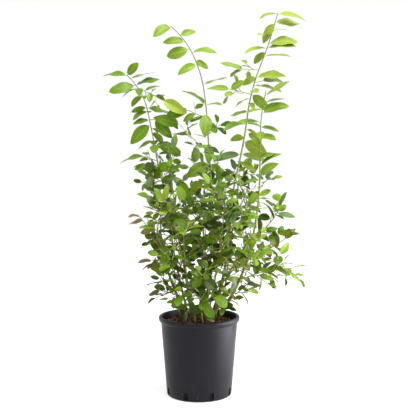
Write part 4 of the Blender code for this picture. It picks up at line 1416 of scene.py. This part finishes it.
def mix_height(x, y):
    """Height of the potting mix: level where the canes stand, lower at the wall, with small lumps."""
    radius = math.hypot(x, y)
    fall = (radius - SOIL_LEVEL_RADIUS) / (inner_radius(SOIL_EDGE) - SOIL_LEVEL_RADIUS)
    fall = min(max(fall, 0.0), 1.0)
    lumps = noise.fractal(Vector((x, y, 0.0)) * LUMP_WAVES, *LUMP_FRACTAL)
    return lerp(SOIL_TOP, SOIL_EDGE, fall) + lumps * LUMP_HEIGHT - LUMP_SINK


def make_mix():
    """The mix as a closed body with a lumpy top."""
    foot = FLOOR + GAP
    edge = inner_radius(SOIL_EDGE) - GAP
    profile = [(inner_radius(foot) - GAP, foot)]
    profile += [(radius, SOIL_EDGE) for radius in evenly(edge, MIX_MIDDLE, MIX_RINGS)]
    vertices, faces = lathe(profile, ROUND_SIDES)
    for vertex in vertices[ROUND_SIDES:]:
        vertex.z = mix_height(vertex.x, vertex.y)
    make_piece(
        "mix_top", (vertices, faces), [crumb_finish("mix_crumbs", *MIX_COLOURS)], "potting_mix",
        ["potting_mix"], smooth_angle=SMOOTH_ANGLE_MIX,
    )


def chip_shape(rng):
    """A flat splinter of bark, lying on the mix or half sunk in it."""
    radius = inner_radius(SOIL_EDGE) * math.sqrt(rng.random()) * CHIP_SPREAD
    angle = rng.uniform(0.0, 2 * math.pi)
    x, y = radius * math.cos(angle), radius * math.sin(angle)
    length = rng.uniform(*CHIP_LENGTH)
    width = length * rng.uniform(*CHIP_WIDTH)
    height = rng.uniform(*CHIP_THICKNESS)
    turn = Matrix.Rotation(rng.uniform(0.0, 2 * math.pi), 3, "Z")
    for axis in "XY":
        turn = turn @ Matrix.Rotation(rng.gauss(0.0, CHIP_TILT), 3, axis)
    count = rng.randint(*CHIP_CORNERS)
    outline = []
    for corner in range(count):
        turned = 2 * math.pi * (corner + rng.uniform(*CHIP_CORNER_SHIFT)) / count
        outline.append((math.cos(turned) * length / 2, math.sin(turned) * width / 2))
    centre = Vector((x, y, mix_height(x, y) + height * rng.uniform(*CHIP_REST)))
    low = [centre + turn @ Vector((a, b, -height / 2)) for a, b in outline]
    high = [centre + turn @ Vector((a * CHIP_TOP, b * CHIP_TOP, height / 2)) for a, b in outline]
    return low + high, ring_faces(0, count, count) + end_faces(2 * count, count)


def make_chips():
    """Chips of each kind, as many as its count, all inside the wall."""
    rng = random.Random("bark chips")
    for name, (count, dark, light) in CHIP_KINDS.items():
        row = []
        while len(row) < count:
            shape = chip_shape(rng)
            if all(math.hypot(v.x, v.y) < inner_radius(SOIL_EDGE) - GAP for v in shape[0]):
                row.append(("potting_mix", shape))
        finish = crumb_finish("chips_" + name, dark, light)
        make_joined("bark_chips_" + name, row, [finish], "potting_mix", smooth_angle=SMOOTH_ANGLE_CHIP)


# Canes, twigs and leaves


def make_canes():
    """Each cane as one barked limb from the soil to its tip, which the foliage at its end grows on."""
    finishes = {kind: bark_finish(kind) for kind in BARK_COLOURS}
    for number, cane in enumerate(CANES):
        kind = BARK_KINDS.get(cane.name, "woody")
        limb = cane_rings(cane, evenly(0.0, 1.0, round(cane.length / BARK_STEP)), UP)
        shape, shares = bark_limb(limb, BARK_SIDES, WOODY_ENDS[kind], number)
        names = ["cane_" + cane.name, "shoot_" + cane.name]
        make_piece("stem_" + cane.name, shape, [finishes[kind]], "bark", names, along=shares)


def make_branch_stems():
    """The stems of the side branches, each from a collar on its cane, joined by the bark of their canes."""
    canes = {cane.name: cane for cane in CANES}
    rows = {}
    shares = {}
    for number, branch in enumerate(BRANCHES):
        kind = BARK_KINDS.get(branch.cane, "woody")
        limb = smooth_limb(stem_of_branch(branch, canes[branch.cane]), BRANCH_BARK_STEPS, sunk=COLLAR_SINK)
        shape, along = bark_limb(limb, BRANCH_BARK_SIDES, BRANCH_WOODY_END, number + len(CANES))
        rows.setdefault(kind, []).append(("branch_" + branch.name, shape))
        shares.setdefault(kind, []).extend(
            BRANCH_BARK_START + (1.0 - BRANCH_BARK_START) * share for share in along
        )
    for kind, row in rows.items():
        finish = bpy.data.materials["bark_" + kind]
        make_joined("branch_stems_" + kind, row, [finish], "bark", along=shares[kind])


def band_at(bands, height):
    """What the highest band that starts below a height holds."""
    return next(held for foot, *held in reversed(bands) if height >= foot)


def make_twigs(masses):
    """Every twig in finer rings, joined by colour."""
    rows = {}
    for mass in masses:
        rng = random.Random(mass.name + " twigs")
        for twig, _ in mass.sprays:
            if twig is None:
                continue
            [kinds] = band_at(TWIG_BANDS, twig.points[0].z)
            fine = smooth_limb(twig, TWIG_ROUND_STEPS)
            fine = fine._replace(radii=[max(radius, FINEST_TWIG) for radius in fine.radii])
            rows.setdefault(rng.choice(kinds.split()), []).append((mass.name, tube(fine, TWIG_ROUND_SIDES)))
    for kind, row in rows.items():
        make_joined("twigs_" + kind, row, [twig_finish(kind, TWIG_COLOURS[kind])], "bark")


def tint_of(rng, mass, place):
    """A spray's tint: the mass's own where it has one, else one for its height and depth in the crown."""
    tints = MASS_TINTS.get(mass.name)
    if tints is None:
        outer, inner = band_at(TINT_BANDS, place.z)
        # painted shade: leaves of the inner crown take the darker inner tints
        tints = inner if math.hypot(place.x, place.y) < INNER_CROWN else outer
    return rng.choice(tints.split())


def make_leaves(masses):
    """Every leaf as its own blade, joined by tint."""
    rows = {tint: [] for tint in LEAF_COLOURS}
    for mass in masses:
        rng = random.Random(mass.name + " blades")
        for _, leaves in mass.sprays:
            if not leaves:
                continue
            spray_tint = tint_of(rng, mass, leaves[0].base)
            for leaf in leaves:
                tint = tint_of(rng, mass, leaf.base) if rng.random() < STRAY_TINT_SHARE else spray_tint
                tipped = rng.random() < BROWN_TIP_SHARE and leaf.base.z < BROWN_TIPS_BELOW
                rows[tint].append((mass.name, blade_from(rng, leaf, tipped)))
    faces, tipped_sides = blade_faces()
    plain_sides = [UPPER if side == TIP else side for side in tipped_sides]
    for tint, blades in rows.items():
        row = [(name, (blade_vertices(blade), faces)) for name, blade in blades]
        sides = [side for _, blade in blades for side in (tipped_sides if blade.tipped else plain_sides)]
        make_joined(
            "leaves_" + tint, row, leaf_finishes(tint), "foliage",
            face_finish=sides, smooth_angle=SMOOTH_ANGLE_LEAF,
        )


# Stage


def make_floor():
    mesh = bpy.data.meshes.new("floor")
    corners = [(x * FLOOR_HALF, y * FLOOR_HALF, 0.0) for x, y in ((-1, -1), (1, -1), (1, 1), (-1, 1))]
    mesh.from_pydata(corners, [], [(0, 1, 2, 3)])
    mesh.materials.append(floor_finish())
    floor = added("floor", mesh)


def soft_light(name, place, target, size, power):
    """A square soft light that faces a target."""
    light = bpy.data.lights.new(name, "AREA")
    light.size = size
    light.energy = power
    light.color = LIGHT_COLOUR
    made = added(name, light)
    made.location = place
    made.rotation_euler = (Vector(target) - Vector(place)).to_track_quat("-Z", "Y").to_euler()


def make_lights():
    world = bpy.data.worlds.new("studio_white")
    world.use_nodes = True
    background = world.node_tree.nodes["Background"].inputs
    background["Color"].default_value = (1.0, 1.0, 1.0, 1.0)
    background["Strength"].default_value = WORLD_STRENGTH
    bpy.context.scene.world = world
    for name, (place, target, size, power) in LIGHTS.items():
        soft_light(name, place, target, size, power)


def make_camera():
    lens = bpy.data.cameras.new("camera")
    lens.sensor_width = CAMERA_FRAME
    lens.lens = CAMERA_LENS
    camera = added("camera", lens)
    camera.location = CAMERA_PLACE
    camera.rotation_euler = (math.radians(90.0 - CAMERA_DOWN), 0.0, 0.0)
    bpy.context.scene.camera = camera


def make_stage():
    make_floor()
    make_lights()
    make_camera()
    view = bpy.context.scene.view_settings
    view.view_transform = "Standard"
    view.look = "None"
    view.exposure = 0.0
    view.gamma = 1.0


def main():
    masses = grow_masses()
    make_pot()
    make_mix()
    make_chips()
    make_canes()
    make_branch_stems()
    make_twigs(masses)
    make_leaves(masses)
    make_stage()


main()
